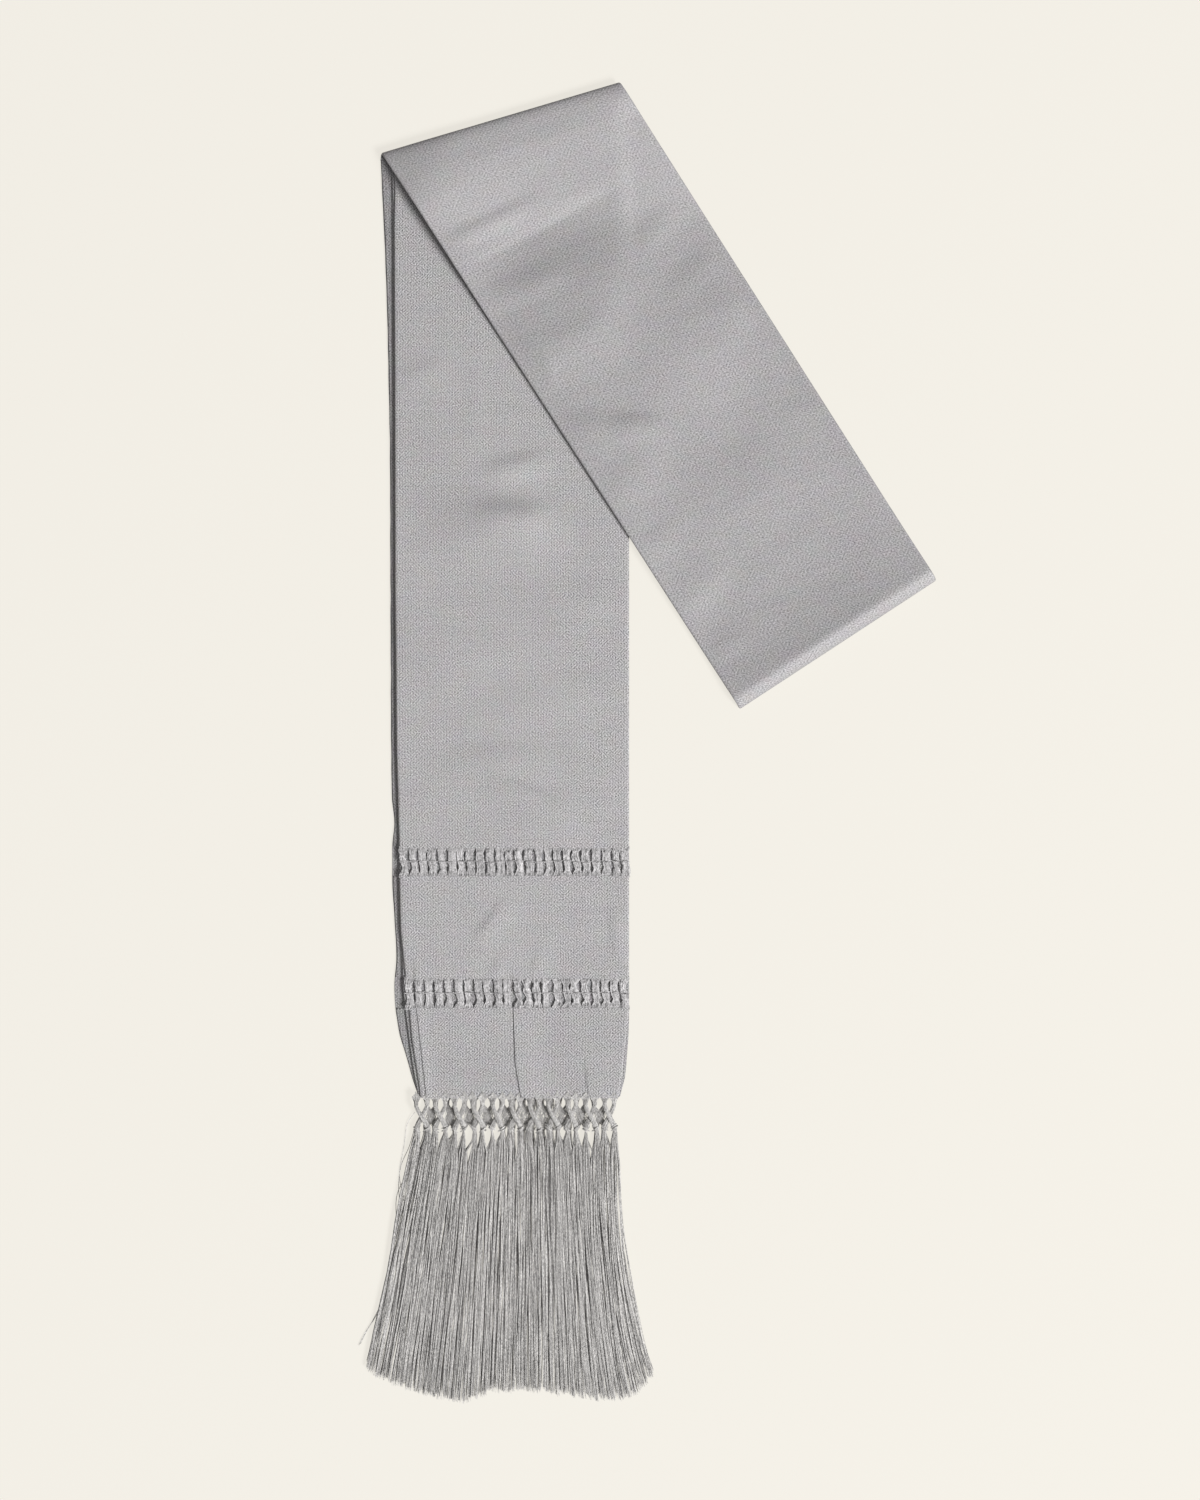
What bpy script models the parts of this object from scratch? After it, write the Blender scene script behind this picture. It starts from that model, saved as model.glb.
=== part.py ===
"""A silk shawl laid flat: folded in four lengthwise, doubled end to end and turned over along a slanted fold.

The long leg runs along Y with its hem and knotted fringe at the -Y end. The turned-over band lies on it and
runs off to the lower right. Plan tables are in millimetres and become metres as the points are placed. The
shawl rests on z = 0.
"""
import math
import random

import bmesh
import bpy
from mathutils import Vector

MM = 0.001

# Thickness and height of the layers, in millimetres
WALL = 1.2
AIR = 0.3
LOWER_TOP = 3.4
LEG_INSIDE = LOWER_TOP + AIR
LEG_OUTSIDE = LEG_INSIDE + WALL
BAND_BOTTOM = LEG_OUTSIDE + AIR
FOLD_RADIUS = 4.65
BAND_OUTSIDE = 2.0 * FOLD_RADIUS
INNER_SKIN = WALL + 1.5 * AIR

# The slanted fold and the turned-over band, in plan
FOLD_LEFT = Vector((-173.2, 383.8))
FOLD_RIGHT = Vector((-17.9, 430.0))
BAND_END_LEFT = Vector((60.1, 22.4))
BAND_END_RIGHT = Vector((188.2, 106.3))
FOLD_REACH = 16.0
ROLL_REACH = 9.0

FOLD_LINE = (FOLD_RIGHT - FOLD_LEFT).normalized()
FOLD_INWARD = Vector((FOLD_LINE.y, -FOLD_LINE.x))
BAND_LINE = ((BAND_END_LEFT + BAND_END_RIGHT) - (FOLD_LEFT + FOLD_RIGHT)).normalized()
BAND_ACROSS = Vector((-BAND_LINE.y, BAND_LINE.x))
BAND_WIDTH = (BAND_END_RIGHT - BAND_END_LEFT).length
HELIX_RATE = BAND_LINE.dot(FOLD_LINE) / BAND_LINE.dot(FOLD_INWARD)

# Leg: y, lower strand's left, inner fold's left, top layer's left, top layer's right, lower strand's right, tilt
LEG_TABLE = (
    (-230.4, -149.2, -151.5, -147.6, -19.2, -18.2, 0.00),
    (-218.7, -153.4, -154.4, -149.2, -16.6, -14.3, 0.00),
    (-202.5, -157.6, -156.7, -151.8, -15.3, -13.0, 0.00),
    (-189.5, -161.9, -158.6, -153.7, -13.6, -11.9, 0.00),
    (-173.2, -164.5, -160.6, -155.0, -12.0, -11.7, 0.00),
    (-157.0, -165.4, -162.5, -157.0, -12.0, -11.7, 0.00),
    (-140.7, -163.5, -162.6, -158.6, -12.0, -11.7, 0.00),
    (-121.2, -164.6, -163.6, -160.6, -12.0, -11.7, 0.00),
    (-92.0, -166.4, -164.6, -161.4, -12.0, -11.7, 0.00),
    (-62.7, -166.4, -164.1, -161.5, -12.0, -11.7, 0.00),
    (-51.0, -164.6, -163.8, -162.0, -12.0, -11.7, 0.00),
    (-36.7, -166.7, -164.4, -162.2, -12.0, -11.7, 0.00),
    (-4.2, -167.2, -165.4, -163.2, -12.0, -11.7, 0.00),
    (93.3, -167.7, -166.1, -164.1, -12.0, -11.7, 0.00),
    (190.8, -168.0, -166.4, -164.3, -12.0, -11.7, 0.00),
    (240.0, -168.9, -166.9, -164.4, -12.3, -12.0, 0.25),
    (290.0, -170.0, -167.4, -164.6, -13.6, -13.3, 0.50),
    (335.0, -171.8, -168.4, -164.8, -15.8, -15.5, 0.80),
    (378.6, -174.0, -169.5, -164.0, -19.2, -18.7, 1.00),
)
LOWER_LEFT, INNER_LEFT, TOP_LEFT, TOP_RIGHT, LOWER_RIGHT, TILT = range(1, 7)

# Lower strand's edge, level by level: height, table column followed on each side, inset from it, set-back at hem
LOWER_LEVELS = (
    (0.0, LOWER_LEFT, LOWER_RIGHT, 0.5, 0.4),
    (0.9, LOWER_LEFT, LOWER_RIGHT, 0.0, 0.0),
    (1.7, LOWER_LEFT, LOWER_RIGHT, 1.6, 1.0),
    (2.6, INNER_LEFT, TOP_RIGHT, 0.0, 0.3),
    (LOWER_TOP, INNER_LEFT, TOP_RIGHT, 0.6, 0.9),
)

LEG_COLUMNS = (0.0, 0.028, 0.044, 0.14, 0.26, 0.38, 0.497, 0.513, 0.60, 0.72, 0.845, 0.861, 1.0)
LEG_ROW_SPACING = 20.0

# Tucks by the hem: column fraction of the line, y where it starts, rise, width of its soft back
PLEATS = (
    (0.044, -145.0, 0.7, 0.044),
    (0.513, -150.0, 0.9, 0.12),
    (0.861, -218.0, 0.8, 0.09),
)
PLEAT_CREST = 0.1

# Soft creases: centre x, centre y, length, angle in degrees, width, rise
LEG_CREASES = (
    (-76.0, 181.0, 62.0, 10.0, 15.0, 1.5),
    (-92.0, 145.0, 58.0, -8.0, 16.0, 1.2),
    (-80.0, -44.0, 60.0, -12.0, 30.0, 0.9),
    (-105.0, -112.0, 38.0, 52.0, 13.0, 0.7),
    (-108.0, 225.0, 60.0, 88.0, 9.0, 0.6),
)
BAND_CREASES = (
    (-74.0, 343.0, 130.0, 26.0, 14.0, 1.6),
    (-66.0, 292.0, 70.0, 22.0, 18.0, 1.2),
    (-48.0, 252.0, 64.0, 36.0, 18.0, 1.2),
    (-22.0, 196.0, 90.0, -3.0, 20.0, 1.3),
    (44.0, 300.0, 66.0, -52.0, 16.0, 1.2),
    (84.0, 222.0, 60.0, 8.0, 22.0, 0.9),
    (40.0, 92.0, 60.0, -30.0, 22.0, 0.9),
)
CREASE_FADE = 30.0
CREASE_AT_EDGE = 0.35
LEG_CREASE_CLEARANCE = 5.0

# The band lifts off the leg beside its left edge, falls to the floor past the leg, and swells before its end
LIFT_HEIGHT = 4.0
LIFT_START = 5.5
LIFT_RISE = 34.0
LIFT_FALL = 150.0
LIFT_WIDTH = 75.0
DROP_START = 0.5
DROP_WIDTH = 17.0
DROP_SETBACK = 4.8
DROP_EASE = 22.0
SWELL_HEIGHT = 3.0
SWELL_LENGTH = 75.0
SWELL_AT_SIDES = 0.5

BAND_COLUMNS = 14
COLUMN_WIDTH = BAND_WIDTH / (BAND_COLUMNS - 1)
BODY_ROWS = 29
WRAP_ANGLES = (-84.0, -55.0, -25.0, 0.0, 12.0, 25.0, 38.0, 48.0, 60.0, 76.0, 90.0)
ROLL_ANGLES = (25.0, 48.0, 68.0, 90.0)
EDGE_BULGE = 0.3

# Nose of the band's inside: angle on its top, then distance from the fold and height on its underside
UNDER_BAND = BAND_BOTTOM + 0.1
INNER_NOSE = (
    (12.0, 1.55, 4.1),
    (25.0, 2.42, 2.42),
    (38.0, 4.65, 1.50),
    (48.0, 6.00, 1.50),
    (60.0, 8.75, UNDER_BAND),
    (76.0, 12.5, UNDER_BAND),
    (90.0, 16.0, UNDER_BAND),
)
INNER_ROLL_ANGLES = (25.0, 48.0, 68.0)
# The hollow that the leg fills under the band: room round the leg, its foot below the floor, and how far in from
# the leg's edge the band's underside stays up
LEG_ROOM = 0.3
HOLLOW_FOOT = -1.2
LEG_MARGIN = 16.0
# Edge of the band's inside: share of its height, inset from the outer cloth's edge
INNER_LEVELS = ((0.0, 2.0), (0.28, 0.9), (0.5, 2.4), (0.78, 0.7), (1.0, 1.5))

# Drawn-thread bands: y of the middle, height of a gap, number of gaps, first and last gap's x
OPENWORK = (
    (-77.0, 18.0, 23, -155.4, -17.6),
    (-162.4, 19.0, 22, -151.6, -17.8),
)
GAP_WIDTH = 2.9
GAP_WIDTH_SPREAD = (0.8, 1.15)
GAP_HEIGHT_SPREAD = (0.93, 1.04)
GAP_FOOT = LEG_INSIDE - 0.15
GAP_TOP = LEG_OUTSIDE + 4.0
GAP_CORNERS = 6

# Knotted fringe
HEM_Y = -230.4
STRIP_LENGTH = 2.0
PAIRS = 11
FIRST_PAIR_X = -146.9
LAST_PAIR_X = -24.7
TASSEL_OFFSET = 3.1
CORD_END_Y = -252.5
# Top fringe, in millimetres: y of a knot's two ends, its width there, and the heights of strip, cords and knots
KNOT_TOP_Y = -248.5
KNOT_FOOT_Y = -254.5
KNOT_TOP_WIDTH = 3.5
KNOT_FOOT_WIDTH = 4.7
STRIP_OVERHANG = 5.6
STRIP_HEIGHTS = (2.2, 4.5)
FRONT_CORD_HEIGHTS = (3.45, 4.75)
BACK_CORD_HEIGHTS = (1.95, 3.3)
KNOT_HEIGHTS = (1.75, 5.0)
CORD_WIDTH = 2.7
FOOT_LEFT = -182.4
FOOT_RIGHT = 3.2
# Ends of the threads: share of the foot's width from the left, y
FOOT_TABLE = (
    (0.00, -409.0),
    (0.04, -415.0),
    (0.10, -419.5),
    (0.22, -426.0),
    (0.34, -430.6),
    (0.43, -424.0),
    (0.56, -422.5),
    (0.70, -426.0),
    (0.80, -429.0),
    (0.92, -428.0),
    (0.97, -421.0),
    (1.00, -412.0),
)
# Locks: how deep their roots sit, the shares of their length at which they are shaped, with the scale of width
LOCK_ROOT_DEPTH = 1.0
LOCK_STATIONS = ((0.0, 1.0), (0.6, 1.0), (1.0, 0.35))
TOP_LOCK_COLUMNS = 3
TOP_LOCK_SPACING = 1.45
TOP_LOCK_ROOT = (1.15, 1.15)
TOP_LOCK_TIP = (2.0, 0.85)
# Layers of the top locks: height at the root and at the tip, and how much shorter the layer hangs
TOP_LOCK_LAYERS = ((2.6, 2.15, 0.0), (4.2, 3.3, 3.0))
UNDER_STRIP_HEIGHTS = (0.35, 1.45)
UNDER_LOCKS = 64
UNDER_LOCK_Z = 0.9
UNDER_LOCK_ROOT = (1.25, 0.9)
UNDER_LOCK_TIP = (1.9, 0.9)
UNDER_LEFT_X = -151.0
UNDER_RIGHT_X = -20.5
STRAY_TIP = (-187.9, -391.0)
RAGGED = 5.5
SEED = 5

CLOTH_COLOUR = (0.445, 0.434, 0.441, 1.0)
BAND_COLOUR = (0.425, 0.412, 0.420, 1.0)
SHADE_COLOUR = (0.300, 0.292, 0.298, 1.0)
FRINGE_COLOUR = (0.385, 0.372, 0.365, 1.0)


def smooth(value):
    """Ease from 0 to 1 with level ends."""
    value = min(1.0, max(0.0, value))
    return value * value * (3.0 - 2.0 * value)


def mix(first, last, share):
    return first + (last - first) * share


def table_value(table, position, column):
    """Value of a column at a position, read straight between the rows of a table."""
    rows = sorted(table, key=lambda row: row[0])
    if position <= rows[0][0]:
        return rows[0][column]
    for low, high in zip(rows, rows[1:]):
        if position <= high[0]:
            return mix(low[column], high[column], (position - low[0]) / (high[0] - low[0]))
    return rows[-1][column]


def crease_rise(creases, x, y):
    """Height that a table of soft creases adds at a point."""
    rise = 0.0
    for centre_x, centre_y, length, angle, width, height in creases:
        turn = math.radians(angle)
        along = (x - centre_x) * math.cos(turn) + (y - centre_y) * math.sin(turn)
        beside = (y - centre_y) * math.cos(turn) - (x - centre_x) * math.sin(turn)
        at_end = smooth(1.0 - 2.0 * abs(along) / length)
        at_side = smooth(1.0 - abs(beside) / width)
        rise = max(rise, height * at_end * at_side)
    return rise


def new_material(name, colour, roughness):
    material = bpy.data.materials.new(name)
    material.use_nodes = True
    shader = material.node_tree.nodes["Principled BSDF"]
    shader.inputs["Base Color"].default_value = colour
    shader.inputs["Roughness"].default_value = roughness
    shader.inputs["Metallic"].default_value = 0.0
    material.diffuse_color = colour
    return material


def add_object(name, mesh, collection, material=None):
    """Turn a bmesh into a named object in a collection."""
    bmesh.ops.recalc_face_normals(mesh, faces=mesh.faces[:])
    data = bpy.data.meshes.new(name)
    mesh.to_mesh(data)
    mesh.free()
    if material:
        data.materials.append(material)
    built = bpy.data.objects.new(name, data)
    collection.objects.link(built)
    return built


def layered_solid(columns, rows, levels, place):
    """Closed solid from a grid of columns and rows that is raised level by level.

    place(column, row, level) gives each point in millimetres. The levels between the first and the last only
    shape the solid's edge.
    """
    mesh = bmesh.new()
    bmesh.ops.create_grid(mesh, x_segments=columns - 1, y_segments=rows - 1, size=1.0)
    bmesh.ops.triangulate(mesh, faces=mesh.faces[:], quad_method="FIXED")
    column_of = mesh.verts.layers.int.new("column")
    row_of = mesh.verts.layers.int.new("row")
    level_of = mesh.verts.layers.int.new("level")
    for vert in mesh.verts:
        vert[column_of] = round((vert.co.x + 1.0) / 2.0 * (columns - 1))
        vert[row_of] = round((vert.co.y + 1.0) / 2.0 * (rows - 1))
    faces = mesh.faces[:]
    for level in range(1, levels):
        raised = bmesh.ops.extrude_face_region(mesh, geom=faces)["geom"]
        if level > 1:
            bmesh.ops.delete(mesh, geom=faces, context="FACES")
        faces = [item for item in raised if isinstance(item, bmesh.types.BMFace)]
        for item in raised:
            if isinstance(item, bmesh.types.BMVert):
                item[level_of] = level
    for vert in mesh.verts:
        vert.co = Vector(place(vert[column_of], vert[row_of], vert[level_of])) * MM
    return mesh


# Leg

def leg_row_y(row_y, x):
    """Height up the leg of a row at x: the rows turn towards the slanted fold near the leg's end."""
    left = table_value(LEG_TABLE, row_y, LOWER_LEFT)
    slope = FOLD_LINE.y / FOLD_LINE.x
    return row_y + table_value(LEG_TABLE, row_y, TILT) * slope * (x - left)


def beside_band(x, y):
    """Distance from the band's left edge out over the leg that shows; negative under the band."""
    return -(Vector((x, y)) - FOLD_LEFT).dot(BAND_ACROSS)


def leg_rise(x, y, fraction):
    """Height that creases and tucks add to the leg's top layer."""
    clear = smooth((beside_band(x, y) - LEG_CREASE_CLEARANCE) / CREASE_FADE)
    rise = crease_rise(LEG_CREASES, x, y) * clear
    for line, start_y, height, back in PLEATS:
        depth = smooth((start_y - y) / (start_y - HEM_Y))
        behind = (line - fraction) / back
        if PLEAT_CREST < behind < 1.0:
            rise = max(rise, height * depth * smooth(1.0 + PLEAT_CREST - behind))
    return rise


def build_lower_strand(collection, material):
    """The leg's hidden layers, whose folded edges show beside and below the top layer."""
    row_ys = [row[0] for row in LEG_TABLE]

    def place(column, row, level):
        height, left_column, right_column, inset, setback = LOWER_LEVELS[level]
        row_y = row_ys[row]
        if column == 0:
            x = table_value(LEG_TABLE, row_y, left_column) + inset
        else:
            x = table_value(LEG_TABLE, row_y, right_column) - inset
        y = leg_row_y(row_y, x)
        if row == 0:
            y += setback
        return x, y, height

    mesh = layered_solid(2, len(row_ys), len(LOWER_LEVELS), place)
    return add_object("lower_strand", mesh, collection, material)


def leg_rows():
    """Rows of the leg's top layer: the table's own, with more between them where they stand far apart."""
    rows = [LEG_TABLE[0][0]]
    for row in LEG_TABLE[1:]:
        count = math.ceil((row[0] - rows[-1]) / LEG_ROW_SPACING)
        start = rows[-1]
        rows.extend(mix(start, row[0], step / count) for step in range(1, count + 1))
    return rows


def build_leg_top(collection, cutters, material):
    """The leg's top layer, with the drawn-thread gaps cut through it."""
    row_ys = leg_rows()

    def place(column, row, level):
        row_y = row_ys[row]
        fraction = LEG_COLUMNS[column]
        bulge = EDGE_BULGE if level == 1 else 0.0
        left = table_value(LEG_TABLE, row_y, TOP_LEFT) - bulge
        right = table_value(LEG_TABLE, row_y, TOP_RIGHT) + bulge
        x = mix(left, right, fraction)
        y = leg_row_y(row_y, x)
        base = mix(LEG_INSIDE, LEG_OUTSIDE, level / 2.0)
        return x, y, base + leg_rise(x, y, fraction)

    mesh = layered_solid(len(LEG_COLUMNS), len(row_ys), 3, place)
    leg = add_object("leg_top", mesh, collection, material)
    cut = leg.modifiers.new("drawn_threads", "BOOLEAN")
    cut.operation = "DIFFERENCE"
    cut.solver = "EXACT"
    cut.object = build_gap_cutters(cutters)
    return leg


def build_gap_cutters(cutters):
    """Upright pointed prisms, one for each gap between two bundles of threads."""
    mesh = bmesh.new()
    chance = random.Random(SEED)
    for middle_y, height, count, first_x, last_x in OPENWORK:
        for index in range(count):
            x = mix(first_x, last_x, index / (count - 1))
            width = GAP_WIDTH * chance.uniform(*GAP_WIDTH_SPREAD)
            tall = height * chance.uniform(*GAP_HEIGHT_SPREAD)
            prism = bmesh.ops.create_cone(mesh, cap_ends=True, segments=GAP_CORNERS, radius1=1.0, radius2=1.0,
                                          depth=1.0)
            for vert in prism["verts"]:
                height_z = GAP_TOP if vert.co.z > 0.0 else GAP_FOOT
                vert.co = Vector((x + vert.co.x * width / 2.0, middle_y + vert.co.y * tall / 2.0, height_z)) * MM
    cutter = add_object("drawn_thread_gaps", mesh, cutters)
    cutter.hide_render = True
    cutter.display_type = "WIRE"
    return cutter


# Turned-over band

def across_and_along(x, y):
    """Distance across the band from its left edge, and along it from the fold's left end."""
    offset = Vector((x, y)) - FOLD_LEFT
    return offset.dot(BAND_ACROSS), offset.dot(BAND_LINE)


def band_lift(x, y):
    """Height by which the band stands off the leg beside the left end of the fold."""
    across, along = across_and_along(x, y)
    start = smooth((along - LIFT_START) / LIFT_RISE)
    fall = 1.0 - smooth((along - LIFT_START - LIFT_RISE) / LIFT_FALL)
    return LIFT_HEIGHT * start * fall * (1.0 - smooth(across / LIFT_WIDTH))


def past_leg(x, y):
    """Distance of a point to the right of the leg's right edge."""
    edge = [(leg_row_y(row[0], row[LOWER_RIGHT]), row[LOWER_RIGHT]) for row in LEG_TABLE]
    return x - table_value(edge, y, 1)


def band_drop(x, y):
    """Depth by which the band has fallen from the leg towards the floor."""
    from_fold = (Vector((x, y)) - FOLD_LEFT).dot(FOLD_INWARD)
    fallen = smooth((past_leg(x, y) - DROP_START) / DROP_WIDTH)
    return BAND_BOTTOM * fallen * smooth((from_fold - DROP_SETBACK) / DROP_EASE)


def band_underside(x, y):
    """Height of the band's underside: lifted over the leg, and on the floor from just inside the leg's edge."""
    if past_leg(x, y) < -LEG_MARGIN:
        return UNDER_BAND + band_lift(x, y)
    return 0.0


def band_swell(x, y):
    """Height that the band gains towards its soft rolled end."""
    across, along = across_and_along(x, y)
    end = (BAND_END_LEFT - FOLD_LEFT).dot(BAND_LINE) - ROLL_REACH
    middle = 1.0 - SWELL_AT_SIDES * (2.0 * across / BAND_WIDTH - 1.0) ** 2
    return SWELL_HEIGHT * middle * smooth((along - end + SWELL_LENGTH) / SWELL_LENGTH)


def fold_point(share, distance):
    """Plan point of the wrapped cloth at a distance in from the fold's edge, on its upper side."""
    return mix(FOLD_LEFT, FOLD_RIGHT, share) + FOLD_INWARD * distance + FOLD_LINE * HELIX_RATE * distance


def body_point(share, fraction):
    """Plan point of the band between its fold and its rolled end."""
    start = fold_point(share, FOLD_REACH)
    end = mix(BAND_END_LEFT, BAND_END_RIGHT, share) - BAND_LINE * ROLL_REACH
    return mix(start, end, fraction)


def band_top(point, creased):
    """Height of the band's outer surface over a plan point, with or without its fine creases."""
    x, y = point
    height = BAND_OUTSIDE + band_lift(x, y) - band_drop(x, y) + band_swell(x, y)
    if creased:
        across, along = across_and_along(x, y)
        inside = smooth(min(across, BAND_WIDTH - across) / CREASE_FADE + CREASE_AT_EDGE)
        height += crease_rise(BAND_CREASES, x, y) * inside
    return height


def wrap_profile(angle, skin):
    """Distance in from the fold's edge and height, on the round of the fold, a skin's depth inside it."""
    turn = math.radians(angle)
    reach = FOLD_REACH if angle > 0.0 else FOLD_RADIUS
    distance = reach - (reach - skin) * math.cos(turn)
    return distance, FOLD_RADIUS + (FOLD_RADIUS - skin) * math.sin(turn)


def build_outer_cloth(collection, material):
    """The cloth that shows on the band: round the slanted fold, along the band and over its rolled end."""
    wraps = len(WRAP_ANGLES)
    rows = wraps + BODY_ROWS + len(ROLL_ANGLES)

    def place(column, row, level):
        share = column / (BAND_COLUMNS - 1)
        if level == 1:
            share += (share - 0.5) * 2.0 * EDGE_BULGE / BAND_WIDTH
        skin = WALL * (1.0 - level / 2.0)
        if row < wraps:
            angle = WRAP_ANGLES[row]
            distance, height = wrap_profile(angle, skin)
            slide = distance if angle > 0.0 else FOLD_RADIUS * math.radians(angle)
            point = mix(FOLD_LEFT, FOLD_RIGHT, share) + FOLD_INWARD * distance + FOLD_LINE * HELIX_RATE * slide
            if angle > 0.0:
                x, y = point
                height += band_lift(x, y) - band_drop(x, y)
            return point.x, point.y, height
        if row < wraps + BODY_ROWS:
            point = body_point(share, (row - wraps + 1) / BODY_ROWS)
            return point.x, point.y, band_top(point, True) - skin
        turn = math.radians(ROLL_ANGLES[row - wraps - BODY_ROWS])
        start = body_point(share, 1.0)
        point = start + BAND_LINE * (ROLL_REACH - skin) * math.sin(turn)
        return point.x, point.y, (band_top(start, True) - skin) * math.cos(turn)

    mesh = layered_solid(BAND_COLUMNS, rows, 3, place)
    return add_object("outer_cloth", mesh, collection, material)


def build_band_inner(collection, cutters, material):
    """The band's hidden layers, rounded into the fold and the rolled end, with folded edges at its sides."""
    noses = len(INNER_NOSE)
    rows = noses + BODY_ROWS + len(INNER_ROLL_ANGLES)

    def place(column, row, level):
        height_share, inset = INNER_LEVELS[level]
        point = Vector(grid_point(column, row, height_share))
        if column in (0, BAND_COLUMNS - 1):
            neighbour = 1 if column == 0 else BAND_COLUMNS - 2
            return point.lerp(Vector(grid_point(neighbour, row, height_share)), inset / COLUMN_WIDTH)
        return point

    def grid_point(column, row, height_share):
        share = column / (BAND_COLUMNS - 1)
        if row < noses:
            angle, under_distance, under_height = INNER_NOSE[row]
            over_distance, over_height = wrap_profile(angle, INNER_SKIN)
            distance = mix(under_distance, over_distance, height_share)
            height = mix(under_height, over_height, height_share)
            point = fold_point(share, distance)
            x, y = point
            return x, y, height + (band_lift(x, y) - band_drop(x, y)) * height_share
        if row < noses + BODY_ROWS:
            point = body_point(share, (row - noses + 1) / BODY_ROWS)
            x, y = point
            return x, y, mix(band_underside(x, y), band_top(point, False) - INNER_SKIN, height_share)
        turn = math.radians(INNER_ROLL_ANGLES[row - noses - BODY_ROWS])
        start = body_point(share, 1.0)
        point = start + BAND_LINE * (ROLL_REACH - INNER_SKIN) * math.sin(turn)
        return point.x, point.y, height_share * (band_top(start, False) - INNER_SKIN) * math.cos(turn)

    mesh = layered_solid(BAND_COLUMNS, rows, len(INNER_LEVELS), place)
    inner = add_object("band_inner", mesh, collection, material)
    hollow = inner.modifiers.new("leg_hollow", "BOOLEAN")
    hollow.operation = "DIFFERENCE"
    hollow.solver = "MANIFOLD"
    hollow.object = build_leg_hollow(cutters)
    return inner


def build_leg_hollow(cutters):
    """The room that the leg takes under the band, a little larger than the leg all round."""
    row_ys = [row[0] for row in LEG_TABLE]

    def place(column, row, level):
        row_y = row_ys[row]
        if column == 0:
            x = table_value(LEG_TABLE, row_y, LOWER_LEFT) - LEG_MARGIN
        else:
            x = table_value(LEG_TABLE, row_y, LOWER_RIGHT) + LEG_ROOM
        y = leg_row_y(row_y, x)
        if row == len(row_ys) - 1:
            y += LEG_ROOM
        return x, y, BAND_BOTTOM if level else HOLLOW_FOOT

    cutter = add_object("leg_hollow", layered_solid(2, len(row_ys), 2, place), cutters)
    cutter.hide_render = True
    cutter.display_type = "WIRE"
    return cutter


# Fringe

def foot_point(share):
    """Plan point where a thread ends, at a share of the foot's width."""
    return Vector((mix(FOOT_LEFT, FOOT_RIGHT, share), table_value(FOOT_TABLE, share, 1)))


def add_block(mesh, start, end, start_width, end_width, heights):
    """A flat block from one plan point to another, with a width at each end, between two heights."""
    side = (end - start).orthogonal().normalized()
    for vert in bmesh.ops.create_cube(mesh, size=1.0)["verts"]:
        at_end = vert.co.x > 0.0
        place = end if at_end else start
        place = place + side * vert.co.y * (end_width if at_end else start_width)
        vert.co = Vector((place.x, place.y, heights[vert.co.z > 0.0])) * MM


def add_lock(mesh, root, tip, root_size, tip_size):
    """A four-sided tapering lock of threads; a size is its width and thickness."""
    rings = []
    for share, scale in LOCK_STATIONS:
        centre = root.lerp(tip, share)
        width = mix(root_size[0], tip_size[0], share) * scale / 2.0
        thick = mix(root_size[1], tip_size[1], share) / 2.0
        ring = [(-width, 0.0), (0.0, -thick), (width, 0.0), (0.0, thick)]
        rings.append([mesh.verts.new((centre + Vector((dx, 0.0, dz))) * MM) for dx, dz in ring])
    for near, far in zip(rings, rings[1:]):
        for index in range(len(near)):
            after = (index + 1) % len(near)
            mesh.faces.new((near[index], near[after], far[after], far[index]))
    mesh.faces.new(rings[0][::-1])
    mesh.faces.new(rings[-1])


def pair_xs():
    """X of the middle of each crossed pair of cords."""
    return [mix(FIRST_PAIR_X, LAST_PAIR_X, index / (PAIRS - 1)) for index in range(PAIRS)]


def strip_line(left, right):
    """The two plan ends of a narrow strip that runs along the hem, just clear of it."""
    y = HEM_Y - AIR - STRIP_LENGTH / 2.0
    return Vector((left, y)), Vector((right, y))


def join(fringe, name, mesh, cutters):
    """Fuse a mesh of separate pieces into a fringe."""
    piece = add_object(name, mesh, cutters)
    piece.hide_render = True
    piece.display_type = "WIRE"
    joined = fringe.modifiers.new(name, "BOOLEAN")
    joined.operation = "UNION"
    joined.solver = "EXACT"
    joined.object = piece


def build_fringe_top(collection, cutters, material):
    """The knotted fringe: crossed cords from a narrow strip by the hem, knots, and locks below each knot."""
    chance = random.Random(SEED)
    left, right = strip_line(FIRST_PAIR_X - STRIP_OVERHANG, LAST_PAIR_X + STRIP_OVERHANG)
    strip = bmesh.new()
    add_block(strip, left, right, STRIP_LENGTH, STRIP_LENGTH, STRIP_HEIGHTS)
    fringe = add_object("fringe_top", strip, collection, material)

    front = bmesh.new()
    back = bmesh.new()
    tassels = bmesh.new()
    for pair, middle in enumerate(pair_xs()):
        left_x, right_x = middle - TASSEL_OFFSET, middle + TASSEL_OFFSET
        for cords, start_x, end_x, heights in ((front, left_x, right_x, FRONT_CORD_HEIGHTS),
                                               (back, right_x, left_x, BACK_CORD_HEIGHTS)):
            start, end = Vector((start_x, left.y)), Vector((end_x, CORD_END_Y))
            add_block(cords, start, end, CORD_WIDTH, CORD_WIDTH, heights)
        for side, knot_x in enumerate((left_x, right_x)):
            add_block(tassels, Vector((knot_x, KNOT_TOP_Y)), Vector((knot_x, KNOT_FOOT_Y)),
                      KNOT_TOP_WIDTH, KNOT_FOOT_WIDTH, KNOT_HEIGHTS)
            add_tassel_locks(tassels, knot_x, 2 * pair + side, chance)
    join(fringe, "front_cords", front, cutters)
    join(fringe, "back_cords", back, cutters)
    join(fringe, "tassels", tassels, cutters)
    fringe.modifiers["tassels"].use_self = True
    return fringe


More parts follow.
